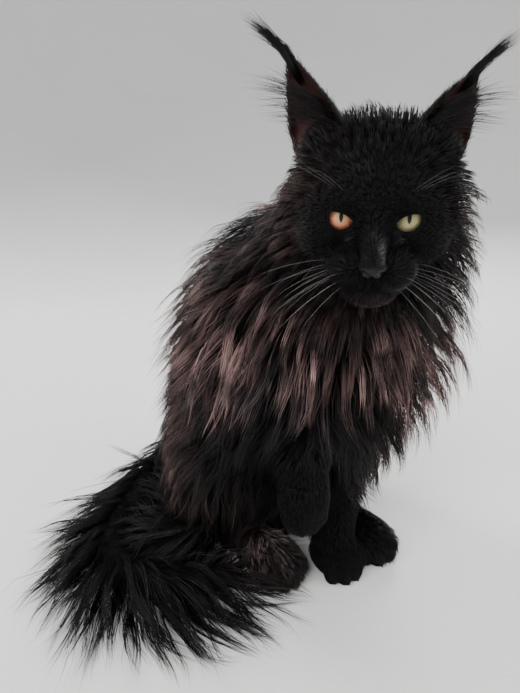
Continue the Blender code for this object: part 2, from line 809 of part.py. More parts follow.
def surface_points(made, count, draw):
    """Points spread at random over the faces of a mesh."""
    shape = bmesh.new()
    shape.from_mesh(made.data)
    bmesh.ops.triangulate(shape, faces=shape.faces)
    corners = np.array([[vert.co for vert in face.verts] for face in shape.faces])
    shape.free()
    areas = np.linalg.norm(np.cross(corners[:, 1] - corners[:, 0], corners[:, 2] - corners[:, 0]), axis=1)
    picked = corners[draw.choice(len(corners), count, p=areas / areas.sum())]
    u, v = draw.random(count)[:, None], draw.random(count)[:, None]
    u, v = np.where(u + v > 1, 1 - u, u), np.where(u + v > 1, 1 - v, v)
    return picked[:, 0] + u * (picked[:, 1] - picked[:, 0]) + v * (picked[:, 2] - picked[:, 0])


def long_haired(node, points):
    """Which points of a node wear long hair: not the face, between the legs or the front of a foreleg."""
    x, y, z = points.T / MM
    if node == "head":
        _, back, up = ((points - EYES_MIDPOINT) @ HEAD_AXES).T / MM
        cheeks = (back > 20) & (up < 14)
        throat = (back > 2) & (up < -52)
        return cheeks | throat
    if node == "torso":
        between_legs = (np.abs(x) < 38) & (y < 0) & (z < 120)
        return ~between_legs
    if node.startswith("foreleg"):
        return (y > np.median(y) + 6) & (z > 40)
    return np.full(len(points), True)


def roots(node, made, flesh, trees, draw):
    """Places on a node's own skin for its locks, evenly apart and clear of its neighbours."""
    points = surface_points(made, TRIES, draw)
    points = points[np.abs(flesh.distance(points, 1.0)) < SKIN_TOLERANCE * MM]
    points = points[points[:, 2] > ROOT_FLOOR * MM]
    points = points[long_haired(node, points)]
    others = [tree for name, tree in trees.items() if name != node]
    chosen = []
    for point in points:
        if any(tree.find_nearest(point)[3] < ROOT_MARGIN * MM for tree in others):
            continue
        if all(np.linalg.norm(point - other) > COAT[node].spacing * MM for other in chosen):
            chosen.append(point)
    return np.array(chosen)


def centre_lines(hair, starts, sizes, lifts, lowest, flesh, draw):
    """Runs of points that start sunk in the skin, rise and follow the lie of the coat, lock by lock."""
    normals = flesh.normals(starts, 1.0)
    sway = draw.normal(0, SWAY, starts.shape)
    lines = [starts - normals * ROOT_DEPTH * MM]
    here = starts - normals * 0.4 * ROOT_DEPTH * MM
    for before, after in zip(STATIONS, STATIONS[1:]):
        normals = flesh.normals(here, 1.0)
        lie = hair.lie(here)
        lie = lie / np.linalg.norm(lie, axis=1, keepdims=True) + sway
        lie += (0, 0, -hair.droop * after)
        outward = np.sum(lie * normals, axis=1, keepdims=True)
        lie -= normals * np.minimum(outward, 0)
        lie /= np.linalg.norm(lie, axis=1, keepdims=True)
        here = here + lie * (after - before) * (hair.length * MM * sizes)[:, None]
        height = hair.lift * MM * math.sin(min(after * 1.25, 1.35) * math.pi / 2) * lifts
        off = flesh.distance(here, 1.0)
        here = here + flesh.normals(here, 1.0) * np.maximum(height - off, 0)[:, None]
        here[:, 2] = np.maximum(here[:, 2], lowest)
        lines.append(here)
    return np.stack(lines, axis=1)


def lock_shape(line, normal, width, lowest=0.0):
    """Rings of a flat lock with a ridge along its outer side, kept over a height, and the tip."""
    rings = []
    for k in range(len(line) - 1):
        along = unit(line[k + 1] - line[max(k - 1, 0)])
        side = unit(np.cross(along, normal))
        out = np.cross(side, along)
        half = width * WIDTHS[k] / 2
        ridge = LOCK_THICKNESS * MM * (1.0 - 0.14 * k)
        ring = np.array([line[k] - side * half, line[k] + out * ridge, line[k] + side * half])
        rings.append(ring + (0, 0, max(lowest - ring[:, 2].min(), 0)))
    return rings, line[-1]


def lock_mesh(rings, tip):
    points = [*np.concatenate(rings), tip]
    faces = [(2, 1, 0)]
    for k in range(len(rings) - 1):
        for i in range(3):
            j = (i + 1) % 3
            a, b = 3 * k, 3 * k + 3
            faces += [(a + i, a + j, b + j), (a + i, b + j, b + i)]
    last = 3 * (len(rings) - 1)
    faces += [(last + i, last + (i + 1) % 3, len(points) - 1) for i in range(3)]
    return np.array(points), faces


def swollen(points):
    """A lock's points moved off its middle, to test that it leaves a gap."""
    middle = np.repeat(points[:-1].reshape(-1, 3, 3).mean(axis=1), 3, axis=0)
    out = points[:-1] - middle
    out /= np.maximum(np.linalg.norm(out, axis=1, keepdims=True), 1e-9)
    tip = points[-1] + unit(points[-1] - middle[-1]) * CLEARANCE * 2 * MM
    return np.vstack([points[:-1] + out * CLEARANCE * 2 * MM, tip])


def tree_of(made):
    shape = bmesh.new()
    shape.from_mesh(made.data)
    tree = BVHTree.FromBMesh(shape)
    shape.free()
    return tree


def fuse(made, locks):
    """Joins closed locks to the node they are rooted in, by one union."""
    group = bpy.data.collections.new("Locks")
    bpy.context.scene.collection.children.link(group)
    for points, faces in locks:
        group.objects.link(new_object("Lock", points, faces))
    boolean(made, group, "UNION", solver="MANIFOLD")
    for lock in list(group.objects):
        discard(lock)
    bpy.data.collections.remove(group)
    keep_largest(made)


def grow_locks(node, made, flesh, trees, grown, draw):
    """Lays the locks of a node, shortens those that would meet a neighbour, and fuses them to it."""
    hair = COAT[node]
    starts = roots(node, made, flesh, trees, draw)
    base_sizes = draw.uniform(*SIZE_RANGE, len(starts))
    lowest = FLOOR_CLEARANCE * draw.uniform(1, 4, len(starts)) * MM
    others = [tree for name, tree in trees.items() if name != node]
    others += [tree for name, held in grown.items() if name != node for tree in held]
    waiting = np.arange(len(starts))
    kept = []
    for shrink in SHRINKS:
        if not len(waiting):
            break
        sizes = base_sizes[waiting] * shrink
        low = lowest[waiting]
        lines = centre_lines(hair, starts[waiting], sizes, sizes * shrink, low, flesh, draw)
        normals = flesh.normals(starts[waiting], 1.0)
        still = []
        for index, line, normal in zip(waiting, lines, normals):
            width = hair.width * MM * base_sizes[index] * math.sqrt(shrink)
            points, faces = lock_mesh(*lock_shape(line, normal, width, lowest[index]))
            tree = BVHTree.FromPolygons(swollen(points).tolist(), faces)
            if any(tree.overlap(other) for other in others):
                still.append(index)
            else:
                kept.append((points, faces, tree))
        waiting = np.array(still, int)
    grown[node] = [tree for _, _, tree in kept]
    fuse(made, [(points, faces) for points, faces, _ in kept])


def ear_locks(side):
    """The tuft at the tip of an ear, and the long hair that crosses its opening."""
    root, tip, axes = ear_frame(side)
    height = np.linalg.norm(tip - root)
    sign = 1 if side == "left" else -1
    outer = unit(np.cross(axes[:, 1], axes[:, 2]))
    outer = outer * np.sign(outer @ HEAD_AXES[:, 0]) * sign
    back, along = axes[:, 1], axes[:, 2]

    def place(across, behind, share):
        return root + outer * across * MM + back * behind * MM + along * height * share

    tuft_end = on_head(*TUFT_TIPS[side])
    locks = []
    for k, (spread, reach) in enumerate(((-4, 0.72), (0, 1.0), (4, 0.84), (1, 0.55))):
        start = place(0, 6.5, 0.86)
        end = tip + (tuft_end - tip) * reach + back * spread * MM
        middle = tip + (end - tip) * 0.35 + along * 3 * MM
        bent = (middle + end) / 2 + along * 1.5 * MM
        locks.append(([start, place(0, 6, 0.97), middle, bent, end], back, TUFT_WIDTH))
    half = EAR_WIDTH / 2
    for share, reach in ((0.10, 0.44), (0.22, 0.64), (0.34, 0.82)):
        inner = -half * (1 - share) * 0.93
        line = [place(inner, 2, share), place(inner + 3, -3, share + 0.08)]
        line += [place(-half * 0.2, -6, 0.5 * share + 0.5 * reach), place(half * 0.25, -7, reach)]
        line.append(place(half * 0.6, -6, reach + 0.18))
        locks.append((line, -back, FURNISHING_WIDTH))
    return locks


def grow_ear_hair(nodes, grown):
    for side in ("left", "right"):
        node = "ear_" + side
        kept = []
        for line, normal, width in ear_locks(side):
            points, faces = lock_mesh(*lock_shape(np.array(line), normal, width * MM))
            tree = BVHTree.FromPolygons(swollen(points).tolist(), faces)
            if not tree.overlap(tree_of(nodes["head"])):
                kept.append((points, faces))
                grown.setdefault(node, []).append(tree)
        fuse(nodes[node], kept)


def grow_coat(nodes, body, tail):
    """The long coat, from the head down, so that each node's locks keep clear of those laid before."""
    draw = np.random.default_rng(SEED)
    trees = {name: tree_of(made) for name, made in nodes.items()}
    grown = {}
    grow_ear_hair(nodes, grown)
    for node in COAT:
        flesh = tail if node.startswith("tail") else body
        grow_locks(node, nodes[node], flesh, trees, grown, draw)


COAT_COLOURS = {
    "head": (0.012, 0.010, 0.010), "neck": (0.050, 0.036, 0.034), "torso": (0.032, 0.022, 0.019),
    "ear_left": (0.016, 0.013, 0.013), "ear_right": (0.016, 0.013, 0.013),
    "foreleg_left": (0.010, 0.009, 0.009), "foreleg_right": (0.014, 0.012, 0.012),
    "hindleg_left": (0.018, 0.014, 0.013), "hindleg_right": (0.020, 0.014, 0.012),
    "hindpaw_left": (0.010, 0.009, 0.009), "hindpaw_right": (0.014, 0.011, 0.010),
    "tail_base": (0.014, 0.012, 0.012), "tail_middle": (0.010, 0.009, 0.009),
    "tail_tip": (0.009, 0.008, 0.008),
    "eye_left": (0.62, 0.45, 0.12), "eye_right": (0.66, 0.40, 0.18),
}
COAT_ROUGHNESS = 0.72
EYE_ROUGHNESS = 0.06


def finish(made):
    """Gives a node its own material."""
    material = bpy.data.materials.new(made.name)
    material.use_nodes = True
    shader = material.node_tree.nodes["Principled BSDF"]
    shader.inputs["Base Color"].default_value = (*COAT_COLOURS[made.name], 1)
    roughness = EYE_ROUGHNESS if made.name.startswith("eye") else COAT_ROUGHNESS
    shader.inputs["Roughness"].default_value = roughness
    made.data.materials.clear()
    made.data.materials.append(material)


def main():
    for old in list(bpy.data.objects):
        bpy.data.objects.remove(old)
    nodes = build_nodes()
    grow_coat(nodes, body_flesh(1.0), tail_flesh())
    for made in nodes.values():
        finish(made)


if __name__ == "__main__":
    main()
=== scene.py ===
"""The looks of a Maine Coon cat: its skin, eyes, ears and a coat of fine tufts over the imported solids.

Metres, +Z up. The origin is on the floor under the rump, +X is the cat's left and -Y is where its chest
faces. The skin is the same blended surface as the solids', some way inside them. The coat grows on it tuft
by tuft, along the lie of the hair, and the skin and the coat carry the same markings.
"""

import math

import bmesh
import bpy
import numpy as np
from mathutils import Matrix, Vector
from mathutils.bvhtree import BVHTree
from mathutils.kdtree import KDTree


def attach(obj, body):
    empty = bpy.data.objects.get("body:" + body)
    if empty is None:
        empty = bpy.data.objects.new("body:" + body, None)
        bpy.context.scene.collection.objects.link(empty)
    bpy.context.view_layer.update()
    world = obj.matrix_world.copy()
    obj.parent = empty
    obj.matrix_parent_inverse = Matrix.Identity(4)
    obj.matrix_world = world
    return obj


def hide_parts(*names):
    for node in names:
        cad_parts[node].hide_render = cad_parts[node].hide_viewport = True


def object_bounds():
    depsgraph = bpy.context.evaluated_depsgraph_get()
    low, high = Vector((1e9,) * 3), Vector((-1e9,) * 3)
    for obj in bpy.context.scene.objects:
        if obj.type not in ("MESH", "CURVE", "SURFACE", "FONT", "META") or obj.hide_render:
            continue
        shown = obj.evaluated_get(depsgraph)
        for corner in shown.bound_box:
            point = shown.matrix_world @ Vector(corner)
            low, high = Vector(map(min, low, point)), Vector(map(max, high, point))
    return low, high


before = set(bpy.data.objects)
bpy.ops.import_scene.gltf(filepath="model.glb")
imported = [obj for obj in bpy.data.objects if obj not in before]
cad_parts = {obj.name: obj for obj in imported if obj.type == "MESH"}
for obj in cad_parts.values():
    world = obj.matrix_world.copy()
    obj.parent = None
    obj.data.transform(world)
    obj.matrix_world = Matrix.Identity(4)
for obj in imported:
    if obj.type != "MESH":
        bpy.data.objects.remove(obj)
CAD_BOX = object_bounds()
BODY = "root"
MM = 0.001
SEED = 7
DRAW = np.random.default_rng(SEED)


def mm(*values):
    return np.array(values, float) * MM


def unit(vector):
    vector = np.asarray(vector, float)
    return vector / np.linalg.norm(vector)


def units(rows):
    return rows / np.maximum(np.linalg.norm(rows, axis=-1, keepdims=True), 1e-12)


# The head looks to the cat's right and is lowered, its left side a little more
EYES_MIDPOINT = mm(-42, -273, 340)
HEAD_YAW = math.radians(40)
HEAD_PITCH = math.radians(20)
HEAD_ROLL = math.radians(1.6)

# The head, in millimetres
EYE_SPACING = 41.5
EYE_RADIUS = 10.5
LID_THICKNESS = 1.5
LID_REACH = (8.2, 2.2, 8.0)
EYE_TURN = math.radians(-4)
EYE_RAISE = math.radians(18)
EYE_SLANT = math.radians(23)
NOSE_TIP = (0, -34, -20)
MUZZLE_WIDTH = 52
CHEEK_WIDTH = 90
CRANIUM_WIDTH = 62
EAR_WIDTH = 44
EAR_BASE = (36, 44, 33)
EAR_TIPS = {"right": (-63, 47, 87), "left": (57, 52, 77)}
TUFT_TIPS = {"right": (-86, 50, 106), "left": (72, 50, 93)}
EAR_FACING = (0.50, -0.86, 0.1)
EAR_DEPTH = 0.66
EAR_WALL = 1.2 * MM
EAR_RINGS = 29
EAR_OUTER_TURNS = np.radians(np.linspace(-98, 98, 25))
EAR_INNER_TURNS = np.radians(np.linspace(92, -92, 23))

# Joints of the skeleton, in millimetres
RUMP = (0, -2, 66)
WITHERS = (0, -106, 274)
LOIN = (0, -8, 182)
NECK_BASE = (0, -138, 256)
ELBOW_LEFT, WRIST_LEFT, TOES_LEFT = (30, -150, 150), (13, -180, 52), (11, -214, 0)
ELBOW_RIGHT, WRIST_RIGHT, PAW_RIGHT = (-42, -150, 160), (-47, -206, 148), (-46, -212, 108)
TOE_SHARES = (-0.72, -0.26, 0.26, 0.72)
HIP_WIDTH = 58
KNEE, HOCK = (80, -114, 102), (62, -42, 20)
HIND_TOES_LEFT, HIND_TOES_RIGHT = (56, -210, 0), (-45, -192, 0)
TAIL_PATH = (
    (0, 26, 46), (-36, 58, 31), (-76, 55, 22), (-108, 22, 19), (-138, -16, 18),
    (-166, -52, 18), (-178, -92, 18), (-163, -130, 17), (-128, -152, 16), (-92, -160, 14),
)
TAIL_RADIUS = 15
TAIL_STEPS = 16

# How the forms run into one another
LIMB_BLEND = 18 * MM
LID_BLEND = 4 * MM
LINE_BLEND = 0.8 * MM
TAIL_BLEND = 6 * MM

# How finely the skin is made
BODY_CELL = 4.2 * MM
HEAD_CELL = 1.05 * MM
GRID_STRIDE, GRID_BAND, GRID_PARTS = 3, 10 * MM, 12
UNWRAP_FACES = 5000
SKIN_TRIANGLES = 190000

# The skin's level within the coat: 0 is the bare flesh and 1 the solids' surface
SKIN_LEVEL = 0.4

# How low the skin and the hair may lie, and how far past the solids' box the hair may reach
SKIN_FLOOR = 0.5 * MM
HAIR_FLOOR = 1.2 * MM
PAST_SOLIDS = 20 * MM
HAIR_REACH = (np.array(CAD_BOX[0]) - PAST_SOLIDS, np.array(CAD_BOX[1]) + PAST_SOLIDS)


def turn(yaw=0.0, pitch=0.0, roll=0.0):
    """Axes as columns. Yaw turns the front to the cat's right, pitch lowers it, roll lowers its left."""
    made = Matrix.Rotation(-yaw, 3, "Z") @ Matrix.Rotation(pitch, 3, "X") @ Matrix.Rotation(roll, 3, "Y")
    return np.array(made)


HEAD_AXES = turn(HEAD_YAW, HEAD_PITCH, HEAD_ROLL)


def on_head(x, y, z):
    """A point given in millimetres from the midpoint of the eyes, in the head's own axes."""
    return EYES_MIDPOINT + HEAD_AXES @ mm(x, y, z)


class Ball:
    """An ellipsoid of flesh, with the depth of the coat over it."""

    def __init__(self, centre, radii, coat, blend, axes=None):
        self.centre, self.radii = np.asarray(centre, float), mm(*radii)
        self.coat, self.blend = coat * MM, blend * MM
        self.axes = np.eye(3) if axes is None else axes

    def distance(self, points, level):
        radii = self.radii + level * self.coat
        local = (points - self.centre) @ self.axes
        near = np.linalg.norm(local / radii, axis=-1)
        slope = np.linalg.norm(local / radii**2, axis=-1)
        return near * (near - 1) / np.maximum(slope, 1e-9)

    def reach(self):
        return self.centre, self.radii.max()


class Limb:
    """A round cone of flesh between two joints, with the depth of the coat at each."""

    def __init__(self, start, end, radius_start, radius_end, coats, blend):
        self.start, self.end = np.asarray(start, float), np.asarray(end, float)
        self.radii, self.coats, self.blend = mm(radius_start, radius_end), mm(*coats), blend * MM

    def distance(self, points, level):
        off = points - self.start
        along = self.end - self.start
        share = np.clip(off @ along / (along @ along), 0, 1)
        radii = self.radii + level * self.coats
        radius = radii[0] + (radii[1] - radii[0]) * share
        return np.linalg.norm(off - share[:, None] * along, axis=-1) - radius

    def reach(self):
        half = np.linalg.norm(self.end - self.start) / 2
        return (self.start + self.end) / 2, half + self.radii.max()


# The forms of the body. A ball is given by its centre, radii, coat and blend, and a limb by its two ends,
# their radii, their coats and its blend
def torso_forms():
    leaning = turn(pitch=math.radians(-28))
    upright = turn(pitch=math.radians(-38))
    forms = [
        Ball(mm(*RUMP), (60, 58, 70), 10, 20),
        Ball(mm(0, -44, 124), (69, 72, 92), 13, 30, leaning),
        Ball(mm(0, -98, 84), (44, 40, 62), 10, 26),
        Ball(mm(0, -106, 196), (56, 64, 98), 13, 30, upright),
        Limb(mm(*WITHERS), mm(*LOIN), 38, 48, (10, 11), 30),
        Ball(mm(0, -156, 198), (56, 38, 64), 20, 30),
    ]
    for side in (-1, 1):
        forms.append(Ball(mm(side * 54, -136, 194), (33, 44, 68), 18, 22))
    return forms


def neck_forms():
    forms = [
        Limb(mm(*NECK_BASE), on_head(0, 58, -8), 51, 42, (18, 14), 26),
        Limb(mm(0, -162, 222), on_head(0, 36, -28), 44, 25, (20, 10), 26),
    ]
    for side in (-1, 1):
        forms.append(Ball(mm(side * 45, -152, 243), (35, 38, 46), 22, 24))
    return forms


def head_forms():
    """Skull, cheeks and muzzle in the head's axes. The coat here is short."""
    cheek, pad, cranium = CHEEK_WIDTH / 2, MUZZLE_WIDTH / 2, CRANIUM_WIDTH / 2
    forms = [
        Ball(on_head(0, 46, 11.5), (cranium + 3, 41, 29.5), 4.5, 14, HEAD_AXES),
        Ball(on_head(0, 19, 12), (27, 24, 19), 3, 14, HEAD_AXES),
        Limb(on_head(0, 8, 4), on_head(0, -25, -13), 9.5, 6, (2, 1), 9),
        Ball(on_head(0, NOSE_TIP[1] + 5, NOSE_TIP[2] + 1), (7.8, 6.5, 5.5), 0.3, 2.5, HEAD_AXES),
        Ball(on_head(0, -12, -40), (11, 12, 8), 3, 7, HEAD_AXES),
        Ball(on_head(0, 34, -22), (32, 33, 27), 7, 16, HEAD_AXES),
    ]
    for side in (-1, 1):
        forms += [
            Ball(on_head(side * 19, 9, 12), (11, 9, 6), 2, 8, HEAD_AXES),
            Ball(on_head(side * (cheek - 14), 21, -11), (16, 26, 19), 6, 14, HEAD_AXES),
            Ball(on_head(side * (pad - 13), -12, -27), (13, 14.5, 10), 2, 5, HEAD_AXES),
            Limb(on_head(side * 21, 30, -33), on_head(side * 7, -8, -39), 13, 8.5, (5, 2.5), 10),
            Ball(on_head(side * 31, 46, 27), (16.5, 17.5, 15.5), 3.5, 14, HEAD_AXES),
        ]
    return forms


def paw_forms(toes, radii):
    """Fist of a paw and its four toes, spread side by side at the front."""
    toes = np.array(toes, float)
    width, length, height = radii
    centre = toes + (0, length, height)
    forms = [Ball(mm(*centre), radii, 4, 8)]
    for share in TOE_SHARES:
        bulge = 0.42 * width * (1 - 0.5 * abs(share))
        toe = centre + (share * width, -length * (0.84 - 0.5 * share**2), -0.22 * height)
        forms.append(Ball(mm(*toe), (0.3 * width, bulge, 0.72 * height), 3, 3))
    return forms


def foreleg_left_forms():
    foot = mm(TOES_LEFT[0], TOES_LEFT[1] + 24, 16)
    return [
        Limb(mm(38, -140, 196), mm(*ELBOW_LEFT), 28, 23, (9, 8), 20),
        Limb(mm(*ELBOW_LEFT), mm(*WRIST_LEFT), 22, 15, (8, 5), 10),
        Limb(mm(*WRIST_LEFT), foot, 15, 14, (5, 4), 8),
    ] + paw_forms(TOES_LEFT, (21, 26, 16))


def foreleg_right_forms():
    """The raised leg: the forearm reaches forward and the paw hangs from the wrist."""
    x, y, z = PAW_RIGHT
    forms = [
        Limb(mm(-40, -140, 200), mm(*ELBOW_RIGHT), 27, 23, (9, 8), 20),
        Limb(mm(*ELBOW_RIGHT), mm(*WRIST_RIGHT), 22, 17, (7, 5), 10),
        Limb(mm(*WRIST_RIGHT), mm(x, y, z + 4), 17, 16, (5, 4), 8),
        Ball(mm(x, y, z), (17.5, 14, 24), 4, 8),
    ]
    for share in TOE_SHARES:
        toe = mm(x + share * 14, y - 2, z - 17 + 9 * share**2)
        forms.append(Ball(toe, (6.5, 10, 11), 3, 3))
    return forms


def hindleg_forms(side, toes):
    slant = turn(pitch=math.radians(24))
    hip = mm(side * HIP_WIDTH, -60, 84)
    knee = mm(side * KNEE[0], *KNEE[1:])
    hock = mm(side * HOCK[0], *HOCK[1:])
    heel = mm(side * HOCK[0], HOCK[1], 16)
    return [
        Ball(hip, (34, 62, 72), 10, 26, slant),
        Ball(knee, (26, 30, 34), 11, 22),
        Limb(knee, hock, 26, 16, (10, 6), 18),
        Limb(heel, mm(toes[0], toes[1] + 40, 15), 16, 14, (4, 4), 10),
    ] + paw_forms(toes, (21, 28, 15))


def path_points(path, count):
    """Points spaced evenly along a smooth curve through the path."""
    path = np.array(path, float)
    padded = np.vstack([2 * path[0] - path[1], path, 2 * path[-1] - path[-2]])
    dense = []
    for k in range(1, len(padded) - 2):
        a, b, c, d = padded[k - 1:k + 3]
        for t in np.linspace(0, 1, 20, endpoint=False):
            dense.append(0.5 * (2 * b + (c - a) * t + (2 * a - 5 * b + 4 * c - d) * t**2
                                + (3 * b - a - 3 * c + d) * t**3))
    dense = np.array(dense + [path[-1]])
    run = np.concatenate([[0], np.cumsum(np.linalg.norm(np.diff(dense, axis=0), axis=1))])
    wanted = np.linspace(0, run[-1], count)
    return np.stack([np.interp(wanted, run, dense[:, k]) for k in range(3)], axis=1)


def tail_forms():
    line = path_points(TAIL_PATH, TAIL_STEPS)
    shares = np.linspace(0, 1, TAIL_STEPS)
    taper = np.interp(shares, (0, 0.25, 0.8, 1), (1.1, 1.0, 0.85, 0.5)) * TAIL_RADIUS
    return [
        Limb(mm(*line[k]), mm(*line[k + 1]), taper[k], taper[k + 1], (7, 7), 8)
        for k in range(len(line) - 1)
    ]


class Eye:
    """Where an eye sits and which way it looks, with the slanted almond that its lids leave open."""

    def __init__(self, side):
        outward = turn(yaw=-side * EYE_TURN, pitch=-EYE_RAISE)
        slanted = turn(roll=-side * EYE_SLANT)
        self.axes = HEAD_AXES @ outward @ slanted
        self.centre = on_head(side * EYE_SPACING / 2, EYE_RADIUS, -2.4)

    def lids(self, points):
        return np.linalg.norm(points - self.centre, axis=-1) - (EYE_RADIUS + LID_THICKNESS) * MM

    def opening(self, points):
        half_width, upper, lower = mm(*LID_REACH)
        across, back, up = ((points - self.centre) @ self.axes).T
        upper_radius = (half_width**2 + upper**2) / (2 * upper)
        lower_radius = (half_width**2 + lower**2) / (2 * lower)
        under = np.hypot(across, up - upper + upper_radius) - upper_radius
        over = np.hypot(across, up + lower - lower_radius) - lower_radius
        return np.maximum(np.maximum(under, over), back)


EYES = {"right": Eye(-1), "left": Eye(1)}


def face_lines(skin, level):
    """Nostrils, the groove under the nose and the line of the mouth, as thin limbs laid in the surface."""
    x, y, z = NOSE_TIP
    chains = [([(0, y + 1, z - 1), (0, y + 3, z - 7), (0, y + 6, z - 12)], 1.2)]
    for side in (-1, 1):
        nostril = [(2.4, y, z - 1), (4.8, y + 1, z + 0.5), (7.4, y + 5, z - 1.5)]
        lip = [(0, y + 7, z - 13), (6, y + 7, z - 16), (13, y + 12, z - 18)]
        mouth = lip + [(19, y + 20, z - 17), (23, y + 28, z - 14)]
        chains.append(([(side * a, b, c) for a, b, c in nostril], 1.3))
        chains.append(([(side * a, b, c) for a, b, c in mouth], 1.7))
    lines = []
    for chain, radius in chains:
        places = skin.settle(np.array([on_head(*point) for point in chain]), level)
        lines += [Limb(a, b, radius, radius, (0, 0), 1) for a, b in zip(places, places[1:])]
    return lines


def smooth_min(a, b, width):
    share = np.clip(1 - np.abs(a - b) / width, 0, 1)
    return np.minimum(a, b) - share * share * width / 4


class Group:
    """Forms blended into one another, left out of the sum where points are far from them."""

    MARGIN = 0.09

    def __init__(self, forms):
        reaches = [form.reach() for form in forms]
        self.forms = forms
        self.centre = np.mean([middle for middle, _ in reaches], axis=0)
        self.radius = max(np.linalg.norm(middle - self.centre) + size for middle, size in reaches)

    def distance(self, points, level):
        total = np.linalg.norm(points - self.centre, axis=1) - self.radius
        near = total < self.MARGIN
        total = np.maximum(total, self.MARGIN)
        if near.any():
            inside = None
            for form in self.forms:
                distance = form.distance(points[near], level)
                inside = distance if inside is None else smooth_min(inside, distance, form.blend)
            total[near] = inside
        return total


class Flesh:
    """A trunk of blended groups with limbs blended on. Level 1 is the solid's surface."""

    def __init__(self, trunk, limbs=()):
        self.trunk = [Group(forms) for forms in trunk]
        self.limbs = [Group(forms) for forms in limbs]
        self.eyes = []
        self.lines = None

    def distance(self, points, level=SKIN_LEVEL):
        total = None
        for group in self.trunk:
            distance = group.distance(points, level)
            total = distance if total is None else smooth_min(total, distance, group.forms[0].blend)
        if self.limbs:
            nearest = np.min([group.distance(points, level) for group in self.limbs], axis=0)
            total = smooth_min(total, nearest, LIMB_BLEND)
        for eye in self.eyes:
            total = smooth_min(total, eye.lids(points), LID_BLEND)
            total = np.maximum(total, -eye.opening(points))
        if self.lines:
            total = -smooth_min(-total, self.lines.distance(points, 0.0), LINE_BLEND)
        return total

    def normals(self, points, level=SKIN_LEVEL):
        step = 0.4 * MM
        around = np.array([(1, -1, -1), (-1, -1, 1), (-1, 1, -1), (1, 1, 1)], float)
        slope = sum(corner * self.distance(points + corner * step, level)[:, None] for corner in around)
        return slope / np.maximum(np.linalg.norm(slope, axis=1, keepdims=True), 1e-9)

    def settle(self, points, level, height=0.0):
        """Moves points along the slope until they stand at a height over the surface."""
        for _ in range(4):
            off = self.distance(points, level) - height
            points = points - self.normals(points, level) * off[:, None]
        return points


def body_flesh(level):
    trunk = [torso_forms(), neck_forms(), head_forms()]
    limbs = [
        foreleg_left_forms(), foreleg_right_forms(),
        hindleg_forms(1, HIND_TOES_LEFT), hindleg_forms(-1, HIND_TOES_RIGHT),
    ]
    flesh = Flesh(trunk, limbs)
    flesh.lines = Group(face_lines(flesh, level))
    flesh.eyes = list(EYES.values())
    return flesh


# The surface where a distance is zero
def untangled(values):
    """Fills a corner of each grid face where the surface would cross itself: all edges have two faces."""
    values = values.copy()
    for _ in range(6):
        crossed = 0
        for a, b in ((0, 1), (0, 2), (1, 2)):
            corners = []
            for step_a, step_b in ((0, 0), (1, 0), (1, 1), (0, 1)):
                window = [slice(None)] * 3
                window[a] = slice(step_a, values.shape[a] - 1 + step_a)
                window[b] = slice(step_b, values.shape[b] - 1 + step_b)
                corners.append(values[tuple(window)])
            inside = [corner < 0 for corner in corners]
            mixed = (inside[0] == inside[2]) & (inside[1] == inside[3]) & (inside[0] != inside[1])
            crossed += mixed.sum()
            for corner, within in zip(corners, inside):
                corner[mixed & ~within] = -1e-6
        if not crossed:
            break
    return values


def crossed_edges(values, axes, axis):
    """Where the surface crosses the grid lines of one axis, and which of its faces look along that axis."""
    low, high = [slice(None)] * 3, [slice(None)] * 3
    low[axis], high[axis] = slice(None, -1), slice(1, None)
    low, high = tuple(low), tuple(high)
    index = np.argwhere((values[low] < 0) != (values[high] < 0))
    before, after = values[low][tuple(index.T)], values[high][tuple(index.T)]
    crossing = index.astype(float)
    crossing[:, axis] += before / (before - after)
    columns = [np.interp(crossing[:, k], np.arange(len(axes[k])), axes[k]) for k in range(3)]
    return index, np.stack(columns, axis=1), (before < 0) != (axis == 1)


def surface_net(values, axes):
    """Points and quads of the surface where a grid of distances passes zero, a point a crossed cell."""
    cells = np.array(values.shape) - 1
    strides = np.array([cells[1] * cells[2], cells[2], 1])
    size = int(np.prod(cells))
    counts, sums = np.zeros(size), np.zeros((size, 3))
    faces = []
    for axis in range(3):
        index, place, outward = crossed_edges(values, axes, axis)
        others = [k for k in range(3) if k != axis]
        corners = []
        for steps in ((0, 0), (1, 0), (1, 1), (0, 1)):
            cell = index.copy()
            cell[:, others] -= steps
            corners.append(cell @ strides)
            counts += np.bincount(corners[-1], minlength=size)
            for k in range(3):
                sums[:, k] += np.bincount(corners[-1], weights=place[:, k], minlength=size)
        quads = np.stack(corners, axis=1)
        quads[~outward] = quads[~outward][:, ::-1]
        faces.append(quads)
    used = np.flatnonzero(counts)
    renumber = np.zeros(size, int)
    renumber[used] = np.arange(len(used))
    return sums[used] / counts[used, None], renumber[np.concatenate(faces)]


def grid_axis(low, high, fine_low, fine_high, coarse, fine):
    """Grid lines set close together over one stretch and wider elsewhere."""
    before = np.linspace(low, fine_low, max(2, round((fine_low - low) / coarse) + 1))[:-1]
    within = np.linspace(fine_low, fine_high, round((fine_high - fine_low) / fine) + 1)
    after = np.linspace(fine_high, high, max(2, round((high - fine_high) / coarse) + 1))[1:]
    return np.concatenate([before, within, after])


